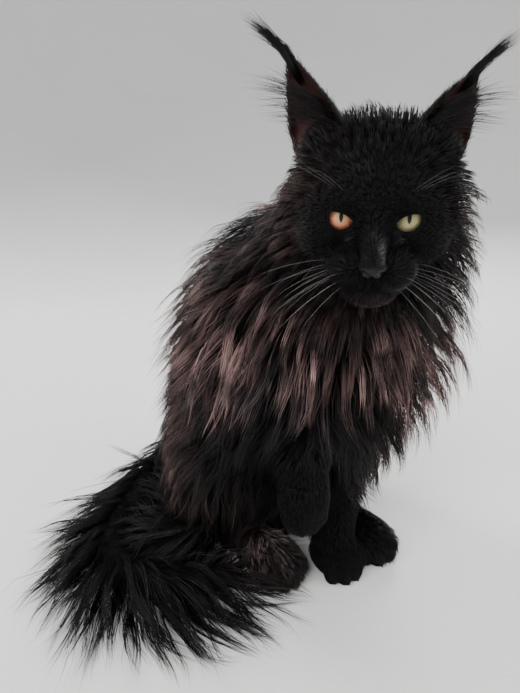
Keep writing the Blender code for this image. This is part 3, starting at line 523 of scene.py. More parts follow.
def banded_distances(flesh, axes):
    """Distances to the skin on a grid: exact near it, and interpolated from a coarser grid elsewhere."""
    coarse_axes = [np.unique(np.append(axis[::GRID_STRIDE], axis[-1])) for axis in axes]
    grid = np.stack(np.meshgrid(*coarse_axes, indexing="ij"), axis=-1)
    values = flesh.distance(grid.reshape(-1, 3)).reshape(grid.shape[:3])
    for k, (axis, coarse) in enumerate(zip(axes, coarse_axes)):
        after = np.clip(np.searchsorted(coarse, axis), 1, len(coarse) - 1)
        share = (axis - coarse[after - 1]) / (coarse[after] - coarse[after - 1])
        share = share.reshape([-1 if j == k else 1 for j in range(3)])
        values = np.take(values, after - 1, axis=k) * (1 - share) + np.take(values, after, axis=k) * share
    near = np.argwhere(np.abs(values) < GRID_BAND)
    points = np.stack([axes[k][near[:, k]] for k in range(3)], axis=1)
    exact = [flesh.distance(part) for part in np.array_split(points, GRID_PARTS)]
    values[tuple(near.T)] = np.concatenate(exact)
    return values


# Meshes
def joined_mesh(name, points, corners, sizes):
    """An object from flat lists of points, of each face's corners and of how many corners it has."""
    mesh = bpy.data.meshes.new(name)
    mesh.vertices.add(len(points))
    mesh.vertices.foreach_set("co", np.ravel(points))
    mesh.loops.add(len(corners))
    mesh.loops.foreach_set("vertex_index", corners)
    mesh.polygons.add(len(sizes))
    mesh.polygons.foreach_set("loop_start", np.concatenate([[0], np.cumsum(sizes)[:-1]]))
    mesh.update(calc_edges=True)
    mesh.shade_smooth()
    made = bpy.data.objects.new(name, mesh)
    bpy.context.scene.collection.objects.link(made)
    return made


def tube_quads(rows, count):
    """Faces between rings of points, each ring with as many points."""
    return np.array([
        (k * count + i, k * count + (i + 1) % count, (k + 1) * count + (i + 1) % count, (k + 1) * count + i)
        for k in range(rows - 1) for i in range(count)])


def discard(made):
    mesh = made.data
    bpy.data.objects.remove(made)
    bpy.data.meshes.remove(mesh)


def set_numbers(made, name, values):
    made.data.attributes.new(name, "FLOAT", "POINT").data.foreach_set("value", np.asarray(values, float))


def points_of(made):
    places = np.empty(len(made.data.vertices) * 3)
    made.data.vertices.foreach_get("co", places)
    return places.reshape(-1, 3)


# The skin
def body_axes():
    """Grid lines over the whole cat, close together over the face."""
    x, y, z = EYES_MIDPOINT
    across = grid_axis(-0.16, 0.16, x - 0.055, x + 0.085, BODY_CELL, HEAD_CELL)
    beside = np.arange(-0.22, across[0] - BODY_CELL / 2, BODY_CELL)
    return [
        np.concatenate([beside, across]),
        grid_axis(-0.34, 0.12, y - 0.045, y + 0.09, BODY_CELL, HEAD_CELL),
        grid_axis(-0.02, 0.45, z - 0.065, z + 0.085, BODY_CELL, HEAD_CELL),
    ]


def skin_of(name, flesh, axes):
    points, quads = surface_net(untangled(banded_distances(flesh, axes)), axes)
    points[:, 2] = np.maximum(points[:, 2], SKIN_FLOOR)
    skin = joined_mesh(name, points, quads.ravel(), np.full(len(quads), 4))
    skin.data = thinned(skin, SKIN_TRIANGLES)
    skin.data.shade_smooth()
    return skin


def thinned(made, triangles):
    """The object's mesh with about so many triangles left."""
    thin = made.modifiers.new("Thin", "DECIMATE")
    thin.ratio = min(1.0, triangles / (2 * len(made.data.polygons)))
    shown = made.evaluated_get(bpy.context.evaluated_depsgraph_get())
    mesh = bpy.data.meshes.new_from_object(shown)
    made.modifiers.clear()
    return mesh


# The lie and length of the coat, stretch by stretch
def head_local(points):
    return ((points - EYES_MIDPOINT) @ HEAD_AXES).T / MM


def ramp(values, low, high):
    """0 below low, 1 above high and a smooth rise between."""
    share = np.clip((values - low) / (high - low), 0, 1)
    return share * share * (3 - 2 * share)


# Stretches of the body, by the axes and the millimetres over which their share rises from 0 to 1: a foot is a
# paw that stands, an instep its top, a wrist the raised leg above it and outer is that side of the other leg
RISES = {
    "front": (("-y", 110, 165),),
    "side": (("x", 12, 42),),
    "flank": (("x", 28, 60), ("-z", -190, -130), ("-y", 40, 90)),
    "foot": (("-z", -46, -28), ("-y", 120, 150)),
    "thigh": (("z", 36, 76),),
    "instep": (("z", 6, 22),),
    "behind": (("y", -190, -160), ("z", 20, 50)),
    "wrist": (("z", 146, 178), ("-x", 0, 20)),
    "outer": (("x", 16, 30), ("z", 48, 90)),
}


def share_of(name, points):
    """How much some points belong to a named stretch, from 0 to 1."""
    share = 1.0
    for axis, low, high in RISES[name]:
        sign = -1 if axis[0] == "-" else 1
        share = share * ramp(sign * points[:, "xyz".index(axis[-1])] / MM, low, high)
    return share


def towards(first, second, share):
    return first * (1 - share) + second * share


def cheek_share(points):
    """1 where long hair stands out behind the cheeks and under the ears."""
    x, back, up = head_local(points)
    edge = np.interp(up, (-45, -10, 25), (10, 22, 27))
    return ramp(np.abs(x) - edge, 0, 14) * ramp(-up, -34, -4) * ramp(back, 4, 28)


def throat_share(points):
    _, back, up = head_local(points)
    return ramp(-up, 40, 54) * ramp(back, -12, 8)


def head_length(points):
    x, back, up = head_local(points)
    face = np.interp(back, (-36, -20, -5, 12, 30, 52, 66, 84), (1.7, 1.8, 2.2, 3.0, 3.8, 4.2, 5.5, 13))
    chin = 3 * ramp(-up, 38, 46) * ramp(-back, -4, 12)
    cheek = (27 + 9 * (x > 0)) * cheek_share(points)
    return face + chin + cheek + 40 * throat_share(points)


def head_lift(points):
    """The cheek under the far ear stands out further: the head is turned towards the near one."""
    x, _, up = head_local(points)
    cheek = (11 + 20 * ramp(-up, -5, 30)) * np.where(x > 0, 1.0, 0.45)
    return cheek * cheek_share(points) + 12 * throat_share(points)


def head_layers(points):
    return 5 + 11 * cheek_share(points) + 5 * throat_share(points)


def head_lie(points):
    """Away from the nose: up over the forehead, out and down over the cheeks and down the nape."""
    x, back, up = head_local(points)
    away = units(np.stack([x, back + 44, up + 8], axis=1))
    down = ramp(-up, -36, 4) * ramp(back, -4, 22)
    nape = ramp(back, 44, 72)
    low = ramp(-up, -5, 30)
    drop = (1.1 - 0.35 * low) * down + 1.5 * nape
    local = away + np.stack([(0.55 + 0.45 * low) * np.sign(x) * down, 0.3 * (1 - down), -drop], axis=1)
    return local @ HEAD_AXES.T


def nape_share(points):
    """1 high on the nape, where the coat is short and close behind the ears."""
    x, back, up = head_local(points)
    lowest = np.where(x > 0, -28, -44)
    return ramp(back, 38, 60) * ramp(up, lowest, lowest + 32)


def neck_length(points):
    mane = 58 + 30 * share_of("front", points)
    return mane + (14 - mane) * nape_share(points)


def neck_lift(points):
    mane = 22 + 8 * share_of("front", points) + 18 * share_of("side", points)
    return mane * (1 - nape_share(points))


def neck_layers(points):
    return 9.2 + 3 * share_of("side", points)


def neck_lie(points):
    """Out from behind the cheeks, then down: the ruff fans from the midline, most at the nape."""
    nape = np.clip((points[:, 1] / MM + 200) / 80, 0, 1)
    fan = (3.0 + 4.0 * nape) * points[:, 0] + 0.15 * np.sign(points[:, 0])
    return np.stack([fan, 0.7 * nape, -np.ones(len(points))], axis=1)


def torso_length(points):
    return 64 + 20 * share_of("front", points) + 8 * share_of("flank", points)


def torso_lift(points):
    return 14 + 5 * share_of("front", points) + 8 * share_of("flank", points)


def torso_lie(points):
    """Back along the spine and down the flanks."""
    lie = np.tile((0.0, 0.45, -0.9), (len(points), 1))
    lie[:, 0] = 0.25 * np.sign(points[:, 0])
    return lie


def hindleg_length(points):
    thigh = 26 + 34 * share_of("thigh", points) + 8 * share_of("flank", points)
    return towards(thigh, 4.5 + 10 * share_of("instep", points), share_of("foot", points))


def hindleg_lift(points):
    thigh = 3 + 9 * share_of("thigh", points) + 6 * share_of("flank", points)
    return towards(thigh, 3 * share_of("instep", points), share_of("foot", points))


def leg_lie(points):
    """Down the legs and forward over the paws, and towards the middle inside the right hind paw."""
    inside = ramp(points[:, 0] / MM, -42, -28) * (points[:, 0] < -18 * MM)
    forward = np.stack([0.9 * inside, -0.9 + 0.3 * inside, np.full(len(points), -0.45)], axis=1)
    foot = share_of("foot", points)[:, None]
    return (1 - foot) * (0.0, 0.22, -1.0) + foot * forward


def foreleg_length(points):
    behind = np.maximum(share_of("behind", points), share_of("wrist", points))
    leg = 7 + 24 * behind + 14 * share_of("outer", points)
    return towards(leg, 3 + 2 * share_of("instep", points), share_of("foot", points))


def foreleg_lift(points):
    return 5 * share_of("behind", points) + 4 * share_of("wrist", points) + 7 * share_of("outer", points)


TAIL_LINE = path_points(TAIL_PATH, 60) * MM
TAIL_RUN = units(np.gradient(TAIL_LINE, axis=0))


def along_tail(points):
    """The nearest point of the tail's bone to each point."""
    nearest = [np.linalg.norm(part[:, None] - TAIL_LINE[None], axis=2).argmin(axis=1)
               for part in np.array_split(points, len(points) // 4000 + 1)]
    return np.concatenate(nearest)


def tail_share(points):
    """How far along the tail some points are, from 0 at its root to 1 at its tip."""
    return along_tail(points) / (len(TAIL_LINE) - 1)


def tail_length(points):
    return np.interp(tail_share(points), (0, 0.25, 0.5, 0.85, 1), (58, 84, 103, 100, 85))


def tail_lift(points):
    return np.interp(tail_share(points), (0, 0.3, 0.6, 1), (7, 10, 14, 15))


def tail_lie(points):
    """Outward from the bone of the tail and on towards its tip, which opens the plume into a fan."""
    nearest = along_tail(points)
    out = units((points - TAIL_LINE[nearest]) * (1, 1, 0.3))
    fan = np.interp(nearest / (len(TAIL_LINE) - 1), (0, 0.2, 0.45, 1), (0.05, 0.3, 0.75, 0.9))[:, None]
    return (1 - 0.45 * fan) * TAIL_RUN[nearest] + fan * out + (0, 0, -0.12)


class Stretch:
    """One stretch of coat: how long it is, how far it stands out, which way it lies and how it clumps."""

    def __init__(self, length, lift, lie, droop, clumping, layers, width=1.0):
        self.length, self.lift, self.lie = length, lift, lie
        self.droop, self.clumping, self.layers, self.width = droop, clumping, layers, width


HEAD_COAT = Stretch(head_length, head_lift, head_lie, 0.15, 0.6, head_layers)
NECK_COAT = Stretch(neck_length, neck_lift, neck_lie, 0.45, 0.6, neck_layers)
TORSO_COAT = Stretch(torso_length, torso_lift, torso_lie, 0.1, 0.6, 4.7)
HINDLEG_COAT = Stretch(hindleg_length, hindleg_lift, leg_lie, 0.15, 0.6, 5.0, 1.2)
FORELEG_COAT = Stretch(foreleg_length, foreleg_lift, leg_lie, 0.05, 0.55, 5.0, 1.2)
TAIL_COAT = Stretch(tail_length, tail_lift, tail_lie, 0.3, 0.5, 11.0)
BODY_STRETCHES = (TORSO_COAT, NECK_COAT, HEAD_COAT, FORELEG_COAT, FORELEG_COAT, HINDLEG_COAT, HINDLEG_COAT)

STRETCH_BLEND = 9 * MM

# What goes by a tuft's length: lengths in millimetres, then a width, a sway, how flat it is combed, how many
# strands share a guide, how closely they gather and how steeply they rise
WIDTH_BY_LENGTH = ((3, 10, 30, 60, 95), (0.34, 0.42, 0.60, 0.72, 0.80))
SWAY_BY_LENGTH = ((4, 15, 60), (0.05, 0.09, 0.14))
FLATNESS_BY_LENGTH = ((9, 30), (0.95, 0.0))
STRANDS_BY_LENGTH = ((3, 8, 20, 60, 95), (2.5, 3.5, 6, 9, 9))
CLUMPING_BY_LENGTH = ((3, 10, 40), (0.05, 0.3, 1.0))
STEEPNESS_BY_LENGTH = ((4, 12, 30), (0.22, 0.32, 0.42))

# The rings of a tuft, with the shortest and longest tuft that has so many, and each ring's share of the width
RINGS_BY_LENGTH = ((1, 0, 6.0), (2, 6.0, 13), (3, 13, 46), (4, 46, 76), (5, 76, 500))
RING_WIDTHS = {
    1: (1.0,), 2: (0.75, 0.9), 3: (0.7, 1.0, 0.72), 4: (0.65, 1.0, 0.88, 0.5), 5: (0.6, 0.95, 1.0, 0.8, 0.45),
}
TUFT_THICKNESS = 0.9
GUIDE_STATIONS = 8
WAVE = 0.07

# How far a tuft strays from its lock at the tip, and how it closes on the lock on its way there
STRAY, LOOSE_STRAY = 0.02, 0.09
CLOSING_POWER = 1.3
SHORTEST_REACH = 0.68
LOOSE_SHARE, LOOSE_CLUMPING, LOOSE_WIDTH = 0.1, 0.1, 0.55

# Most locks are dark, and a tuft keeps this much of its lock's shade
DARKNESS = 1.9
LOCK_SHADE = 0.65

# The bare rims of the lids, and how much longer a tuft may be for each millimetre away from an eye
LID_RIM = 1.3 * MM
CLEAR_AT_EYE, CLEAR_RATE = 0.8 * MM, 0.2
FREE_FROM_EYE, FREE_RATE = 35 * MM, 0.35

UV_PATCH = 0.003
FACES_A_PIECE = 190000


def width_of(lengths):
    return np.interp(lengths, *WIDTH_BY_LENGTH)


# The growing of the coat
class Shares:
    """How much each stretch of coat counts at some points, by how near each is."""

    def __init__(self, flesh, stretches, points):
        self.stretches = stretches
        groups = flesh.trunk + flesh.limbs
        gaps = np.stack([group.distance(points, SKIN_LEVEL) for group in groups], axis=1)
        weights = np.exp(-(gaps - gaps.min(axis=1, keepdims=True)) / STRETCH_BLEND)
        self.weights = weights / weights.sum(axis=1, keepdims=True)

    def mix(self, name, points=None):
        total = 0
        for k, stretch in enumerate(self.stretches):
            value = getattr(stretch, name)
            if callable(value):
                value = value(points)
            weight = self.weights[:, k]
            if np.ndim(value) == 2:
                weight = weight[:, None]
                value = units(value)
            total = total + weight * value
        return total


class Unwrap:
    """An unwrap of a skin's own shape, to place each tuft's patch by the root of the tuft."""

    def __init__(self, skin):
        coarse = skin.copy()
        coarse.data = skin.data.copy()
        bpy.context.scene.collection.objects.link(coarse)
        coarse.data = thinned(coarse, UNWRAP_FACES)
        bpy.context.view_layer.objects.active = coarse
        coarse.select_set(True)
        bpy.ops.object.mode_set(mode="EDIT")
        bpy.ops.mesh.select_all(action="SELECT")
        bpy.ops.uv.smart_project(angle_limit=math.radians(66), island_margin=0.004)
        bpy.ops.object.mode_set(mode="OBJECT")
        shape = bmesh.new()
        shape.from_mesh(coarse.data)
        bmesh.ops.triangulate(shape, faces=shape.faces)
        layer = shape.loops.layers.uv.active
        self.tree = BVHTree.FromBMesh(shape)
        self.corners = np.array([[loop.vert.co for loop in face.loops] for face in shape.faces])
        self.places = np.array([[loop[layer].uv for loop in face.loops] for face in shape.faces])
        shape.free()
        discard(coarse)

    def at(self, points):
        faces = np.array([self.tree.find_nearest(point)[2] for point in points.tolist()])
        a, b, c = self.corners[faces].transpose(1, 0, 2)
        u, v, w = b - a, c - a, points - a
        uu, uv, vv = (u * u).sum(1), (u * v).sum(1), (v * v).sum(1)
        wu, wv = (w * u).sum(1), (w * v).sum(1)
        span = np.maximum(uu * vv - uv * uv, 1e-18)
        s, t = (vv * wu - uv * wv) / span, (uu * wv - uv * wu) / span
        shares = np.clip(np.stack([1 - s - t, s, t], axis=1), 0, 1)
        shares /= shares.sum(axis=1, keepdims=True)
        return (self.places[faces] * shares[:, :, None]).sum(axis=1)


def scattered(skin, density):
    """Roots spread over a skin at random, by a density in tufts a square millimetre."""
    mesh = skin.data
    mesh.calc_loop_triangles()
    corners = np.empty(len(mesh.loop_triangles) * 3, int)
    mesh.loop_triangles.foreach_get("vertices", corners)
    corners = points_of(skin)[corners.reshape(-1, 3)]
    areas = np.linalg.norm(np.cross(corners[:, 1] - corners[:, 0], corners[:, 2] - corners[:, 0]), axis=1) / 2
    weights = areas / MM**2 * density(corners.mean(axis=1))
    count = int(weights.sum())
    picked = corners[DRAW.choice(len(corners), count, p=weights / weights.sum())]
    u, v = DRAW.random(count)[:, None], DRAW.random(count)[:, None]
    u, v = np.where(u + v > 1, 1 - u, u), np.where(u + v > 1, 1 - v, v)
    return picked[:, 0] + u * (picked[:, 1] - picked[:, 0]) + v * (picked[:, 2] - picked[:, 0])


def leather_gap(points):
    """Under 1 on the leather of the nose."""
    x, back, up = head_local(points)
    _, nose_back, nose_up = NOSE_TIP
    return np.sqrt((x / 8.5)**2 + ((back - nose_back - 4) / 7.5)**2 + ((up - nose_up + 1) / 6.0)**2)


def bare(points):
    """Where no coat grows: the nose leather and the rims of the lids."""
    _, back, _ = head_local(points)
    open_eye = np.zeros(len(points), bool)
    for eye in EYES.values():
        open_eye |= eye.opening(points) < LID_RIM
    return (leather_gap(points) < 1) | (open_eye & (back < 14))


def density_over(flesh, stretches):
    """The density of tufts, in tufts a square millimetre, as a function of points."""
    def density(points):
        shares = Shares(flesh, stretches, points)
        lengths = shares.mix("length", points)
        room = lengths * width_of(lengths) * shares.mix("width")
        return shares.mix("layers", points) / room * ~bare(points)
    return density


def guide_lines(flesh, shares, starts, lengths, lifts):
    """Runs of points that rise from the skin to the coat's surface and follow its lie."""
    stations = np.linspace(0, 1, GUIDE_STATIONS + 1)
    steepest = np.interp(lengths / MM, *STEEPNESS_BY_LENGTH) * lengths
    depths = np.clip(-flesh.distance(starts, 1.0), 0.3 * MM, steepest)
    droops = shares.mix("droop")
    sway = DRAW.normal(0, 1, starts.shape) * np.interp(lengths / MM, *SWAY_BY_LENGTH)[:, None]
    flatness = np.interp(lengths / MM, *FLATNESS_BY_LENGTH)[:, None]
    lines = [starts]
    here = starts
    for before, after in zip(stations, stations[1:]):
        normals = flesh.normals(here)
        lie = units(shares.mix("lie", here)) + sway
        lie[:, 2] -= droops * after
        outward = np.sum(lie * normals, axis=1, keepdims=True)
        lie = units(lie - normals * np.where(outward < 0, outward, outward * flatness))
        here = here + lie * (after - before) * lengths[:, None]
        rise = math.sin(min(after * 1.25, 1.35) * math.pi / 2)
        height = depths * min(1, 1.6 * rise) + lifts * rise
        off = flesh.distance(here)
        here = here + flesh.normals(here) * np.maximum(height - off, 0)[:, None]
        here[:, 2] = np.maximum(here[:, 2], HAIR_FLOOR)
        lines.append(here)
    return np.stack(lines, axis=1)


def waved(lines, normals, lengths):
    """Swings long hair from side to side along its run."""
    side = units(np.cross(lines[:, -1] - lines[:, 0], normals))
    shares = np.linspace(0, 1, lines.shape[1])
    turns = DRAW.uniform(0.7, 1.35, len(lines))[:, None]
    phase = DRAW.uniform(0, 2 * math.pi, len(lines))[:, None]
    swing = np.sin(2 * math.pi * turns * shares + phase) - np.sin(phase)
    sizes = WAVE * lengths * ramp(lengths / MM, 25, 60)
    return lines + side[:, None] * (swing * shares * sizes[:, None])[:, :, None]


def along_lines(lines, shares):
    """Points at given shares of the way along each line."""
    at = np.clip(shares, 0, 1) * (lines.shape[1] - 1)
    low = np.minimum(at.astype(int), lines.shape[1] - 2)
    rows = np.arange(len(lines))[:, None]
    part = (at - low)[:, :, None]
    return lines[rows, low] * (1 - part) + lines[rows, low + 1] * part


class Tufts:
    """Tufts of one kind: the lines they run along, how wide they are, and their roots and shades."""

    def __init__(self, lines, normals, widths, roots, shades):
        self.lines, self.normals, self.widths = lines, normals, widths
        self.roots, self.shades = roots, shades

    def part(self, rows):
        return Tufts(self.lines[rows], self.normals[rows], self.widths[rows], self.roots[rows],
                     self.shades[rows])

    def object(self, name, unwrap):
        """Closed flat prisms of three sides, drawn to a point."""
        count, stations = self.lines.shape[:2]
        rings = stations - 1
        steps = np.diff(self.lines, axis=1)
        along = units(np.concatenate([steps[:, :1], steps[:, :-1] + steps[:, 1:]], axis=1))
        side = units(np.cross(along, self.normals[:, None]))
        out = np.cross(side, along)
        half = self.widths[:, None, None] * np.array(RING_WIDTHS[rings])[:, None] / 2
        base = self.lines[:, :-1]
        ring = np.stack([base - side * half, base + out * half * TUFT_THICKNESS, base + side * half], axis=2)
        points = np.concatenate([ring.reshape(count, -1, 3), self.lines[:, -1:]], axis=1)
        corners, sizes = prism_faces(rings)
        size = 3 * rings + 1
        offsets = (np.arange(count) * size)[:, None]
        made = joined_mesh(name, points.reshape(-1, 3), (corners + offsets).ravel(), np.tile(sizes, count))
        share = np.append(np.repeat(np.arange(rings), 3), rings) / rings
        across = np.append(np.tile((0.0, 0.5, 1.0), rings), 0.5)
        set_numbers(made, "Tip", np.tile(share, count))
        set_numbers(made, "Shade", np.repeat(self.shades, size))
        # Rust, and the painted rosy highlights, by the markings at each root
        set_numbers(made, "RustAndHighlight", np.repeat(marked(RUST_AND_HIGHLIGHTS, self.roots), size))
        # Grey hair, and the painted sheen and glints by the nose and eyes, by the markings at each root
        set_numbers(made, "GreyAndSheen", np.repeat(marked(GREY_AND_SHEEN, self.roots), size))
        patch = np.stack([across - 0.5, share - 0.5], axis=1) * UV_PATCH
        places = np.clip(unwrap.at(self.roots)[:, None] + patch[None], 0, 1).reshape(-1, 2)
        layer = made.data.uv_layers.new(name="OFBake")
        layer.uv.foreach_set("vector", places[(corners + offsets).ravel()].ravel())
        return made


def prism_faces(rings):
    faces = [(2, 1, 0)]
    for k in range(rings - 1):
        for i in range(3):
            a, b, j = 3 * k, 3 * k + 3, (i + 1) % 3
            faces.append((a + i, a + j, b + j, b + i))
    last = 3 * (rings - 1)
    faces += [(last + i, last + (i + 1) % 3, 3 * rings) for i in range(3)]
    return np.array([corner for face in faces for corner in face]), np.array([len(face) for face in faces])


def nearest_of(guides, roots):
    """The index of the guide nearest each root."""
    tree = KDTree(len(guides))
    for index, guide in enumerate(guides.tolist()):
        tree.insert(guide, index)
    tree.balance()
    return np.array([tree.find(root)[1] for root in roots.tolist()])


class Guides:
    """The lines that tufts are gathered to: some of the roots, fewer where the hair is long."""

    def __init__(self, flesh, stretches, roots):
        lengths = Shares(flesh, stretches, roots).mix("length", roots)
        starts = roots[DRAW.random(len(roots)) < 1 / np.interp(lengths, *STRANDS_BY_LENGTH)]
        shares = Shares(flesh, stretches, starts)
        lengths = shares.mix("length", starts) * MM * DRAW.uniform(0.8, 1.15, len(starts))
        lengths = clear_of_eyes(starts, lengths)
        lifts = shares.mix("lift", starts) * MM * DRAW.uniform(0.45, 1.15, len(starts))
        self.starts, self.lengths, self.normals = starts, lengths, flesh.normals(starts)
        lines = guide_lines(flesh, shares, starts, lengths, lifts)
        self.lines = waved(lines, self.normals, lengths)
        self.clumping = shares.mix("clumping") * np.interp(lengths / MM, *CLUMPING_BY_LENGTH)
        self.clumping *= DRAW.uniform(0.7, 1.25, len(starts))
        self.thickness = shares.mix("width")
        self.shades = DRAW.random(len(starts))**DARKNESS

    def gathered(self, near, roots, reach, loose, rings):
        """Tufts that follow their nearest guide and close on it towards the tip, but for the loose ones."""
        lengths = self.lengths[near] * reach / MM
        stations = np.linspace(0, 1, rings + 1)
        closing = np.clip(np.where(loose, LOOSE_CLUMPING, self.clumping[near]), 0, 0.95)
        run = along_lines(self.lines[near], stations[None] * reach[:, None])
        offset = roots - self.starts[near]
        closed = closing[:, None, None] * stations[None, :, None]**CLOSING_POWER
        offset = offset[:, None] * (1 - closed)
        stray = DRAW.normal(0, 1, roots.shape) * lengths[:, None] * MM
        stray *= np.where(loose, LOOSE_STRAY, STRAY)[:, None]
        run = np.clip(run + offset + stray[:, None] * stations[None, :, None]**2, *HAIR_REACH)
        run[:, :, 2] = np.maximum(run[:, :, 2], HAIR_FLOOR * 0.5)
        widths = width_of(lengths) * self.thickness[near] * MM * DRAW.uniform(0.7, 1.15, len(roots))
        widths *= np.where(loose, LOOSE_WIDTH, 1.0)
        shades = LOCK_SHADE * self.shades[near] + (1 - LOCK_SHADE) * DRAW.random(len(roots))
        return Tufts(run, self.normals[near], widths, roots, shades)


def combed(flesh, stretches, roots):
    """The coat over some roots, as one set of tufts for each count of rings."""
    guides = Guides(flesh, stretches, roots)
    nearest = nearest_of(guides.starts, roots)
    reach = DRAW.uniform(SHORTEST_REACH, 1.0, len(roots))
    loose = DRAW.random(len(roots)) < LOOSE_SHARE
    lengths = guides.lengths[nearest] * reach / MM
    made = []
    for rings, shortest, longest in RINGS_BY_LENGTH:
        picked = (lengths >= shortest) & (lengths < longest)
        if picked.any():
            made.append(guides.gathered(nearest[picked], roots[picked], reach[picked], loose[picked], rings))
    return made


def clear_of_eyes(points, lengths):
    """Shortens the tufts round the eyes so that none hangs over them."""
    for eye in EYES.values():
        gap = np.maximum(np.linalg.norm(points - eye.centre, axis=1) - (EYE_RADIUS + LID_THICKNESS) * MM, 0)
        longest = CLEAR_AT_EYE + CLEAR_RATE * gap + FREE_RATE * np.maximum(gap - FREE_FROM_EYE, 0)
        lengths = np.minimum(lengths, longest * (1 + 1.5 * cheek_share(points)))
    return lengths


# The markings, which the skin and the coat share
class Marking:
    """A soft patch of another colour about a place in millimetres."""

    def __init__(self, centre, radii, strength):
        self.centre, self.radii, self.strength = np.asarray(centre, float), mm(*radii), strength

    def at(self, points):
        return self.strength * np.exp(-(((points - self.centre) / self.radii)**2).sum(axis=1))


def marked(markings, points):
    return np.clip(sum(marking.at(points) for marking in markings), 0, 1)


# Rusty hair over the ruff, flanks, back, legs and chin, its bright locks a painted rosy highlight, and a
# painted backlit glow at the sides of the head; one patch takes them away low on the front of the chest
RUST_AND_HIGHLIGHTS = [
    Marking(mm(-20, -195, 268), (52, 42, 30), 1.0),
    Marking(mm(30, -195, 250), (50, 42, 38), 0.95),
    Marking(mm(-62, -150, 250), (40, 42, 44), 0.9),
    Marking(mm(60, -160, 200), (40, 46, 60), 0.8),
    Marking(mm(-92, -80, 160), (36, 48, 62), 0.62),
    Marking(mm(88, -60, 150), (40, 60, 75), 0.6),
    Marking(mm(0, -30, 240), (60, 50, 40), 0.35),
    Marking(mm(74, -140, 140), (34, 44, 50), 0.9),
    Marking(mm(-30, -205, 186), (46, 60, 34), -0.9),
    Marking(mm(-60, -140, 40), (30, 40, 22), 0.5),
    Marking(on_head(2, -17, -50), (11, 11, 7), 0.8),
    # A painted backlit glow at the sides of the head, over some rusty hair
    Marking(on_head(-60, 44, -4), (11, 26, 30), 0.75),
    Marking(on_head(60, 44, -4), (11, 26, 30), 0.75),
]

# Grey hair on the hocks and low on the chest, and painted light: a painted sheen on the bridge of the nose
# and painted glints at the inner corners of the eyes
GREY_AND_SHEEN = [
    # A painted sheen on the short fur of the nose's bridge
    Marking(on_head(5, -28, -10), (2.8, 9, 8), 0.6),
    # Painted glints at the wet inner corners of the eyes, brighter at the left eye
    Marking(on_head(-12, -3, -8.5), (1.7, 4, 2.6), 0.8),
    Marking(on_head(13.5, -3, -9.5), (1.8, 4, 3.2), 2.6),
    Marking(mm(74, -150, 150), (22, 30, 26), 0.75),
    Marking(mm(-52, -160, 34), (24, 24, 12), 0.2),
    Marking(mm(-56, -186, 236), (20, 30, 16), 0.3),
]


# Materials
class Nodes:
    """A material's nodes, made and linked with few words."""

    def __init__(self, name):
        self.material = bpy.data.materials.new(name)
        self.material.use_nodes = True
        self.tree = self.material.node_tree
        self.shader = self.tree.nodes["Principled BSDF"]

    def add(self, kind, **settings):
        node = self.tree.nodes.new("ShaderNode" + kind)
        for key, value in settings.items():
            setattr(node, key, value)
        return node

    def feed(self, socket, value):
        """Sets a socket to a number or a colour, or links another node's output to it."""
        if isinstance(value, (int, float)):
            socket.default_value = value
        elif isinstance(value, tuple):
            socket.default_value = (*value, 1)
        else:
            self.tree.links.new(value, socket)

    def finish(self, **inputs):
        """The material, once the shader's inputs are fed: their names have _ for a space."""
        for name, value in inputs.items():
            self.feed(self.shader.inputs[name.replace("_", " ")], value)
        return self.material

    def number(self, name):
        return self.add("Attribute", attribute_name=name).outputs["Fac"]

    def maths(self, operation, *values):
        node = self.add("Math", operation=operation)
        for socket, value in zip(node.inputs, values):
            self.feed(socket, value)
        return node.outputs[0]

    def times(self, first, second):
        return self.maths("MULTIPLY", first, second)

    def scaled(self, value, scale, offset):
        return self.maths("MULTIPLY_ADD", value, scale, offset)

    def clamped(self, value):
        return self.maths("MINIMUM", self.maths("MAXIMUM", value, 0.0), 1.0)

    def mix(self, share, first, second):
        node = self.add("Mix", data_type="RGBA")
        for index, value in zip((0, 6, 7), (share, first, second)):
            self.feed(node.inputs[index], value)
        return node.outputs[2]

    def noise(self, scale, detail, coordinates=None):
        node = self.add("TexNoise")
        self.feed(node.inputs["Scale"], scale)
        self.feed(node.inputs["Detail"], detail)
        self.feed(node.inputs["Vector"], coordinates or self.add("TexCoord").outputs["Object"])
        return node.outputs["Fac"]

    def bump(self, height, strength, distance):
        node = self.add("Bump")
        self.feed(node.inputs["Strength"], strength)
        self.feed(node.inputs["Distance"], distance)
        self.feed(node.inputs["Height"], height)
        return node.outputs["Normal"]


# Colours and the depth of the nap
BLACK = (0.0040, 0.0036, 0.0040)
SOOT = (0.011, 0.0092, 0.0098)
# The hair's own rusty colour, and a painted rosy highlight for its lit locks
RUST = (0.095, 0.047, 0.038)
ROSY_HIGHLIGHT = (0.440, 0.284, 0.270)
# Grey hair, and the painted sheen and glints by the nose and eyes
GREY_AND_SHEEN_DARK = (0.040, 0.042, 0.048)
GREY_AND_SHEEN_PALE = (0.240, 0.235, 0.240)
SKIN_BLACK, SKIN_RUST = (0.004, 0.0036, 0.004), (0.05, 0.028, 0.022)
LEATHER_DARK, LEATHER_PALE = (0.003, 0.003, 0.004), (0.008, 0.008, 0.010)
EAR_BLACK, EAR_DARK, EAR_PINK = (0.005, 0.0045, 0.005), (0.016, 0.006, 0.006), (0.055, 0.020, 0.018)
WHISKER_ROOT, WHISKER_TIP = (0.07, 0.068, 0.066), (0.24, 0.23, 0.22)
IRIS_RIM, PUPIL_BLACK = (0.012, 0.009, 0.006), (0.002, 0.002, 0.002)
NAP = 0.3 * MM


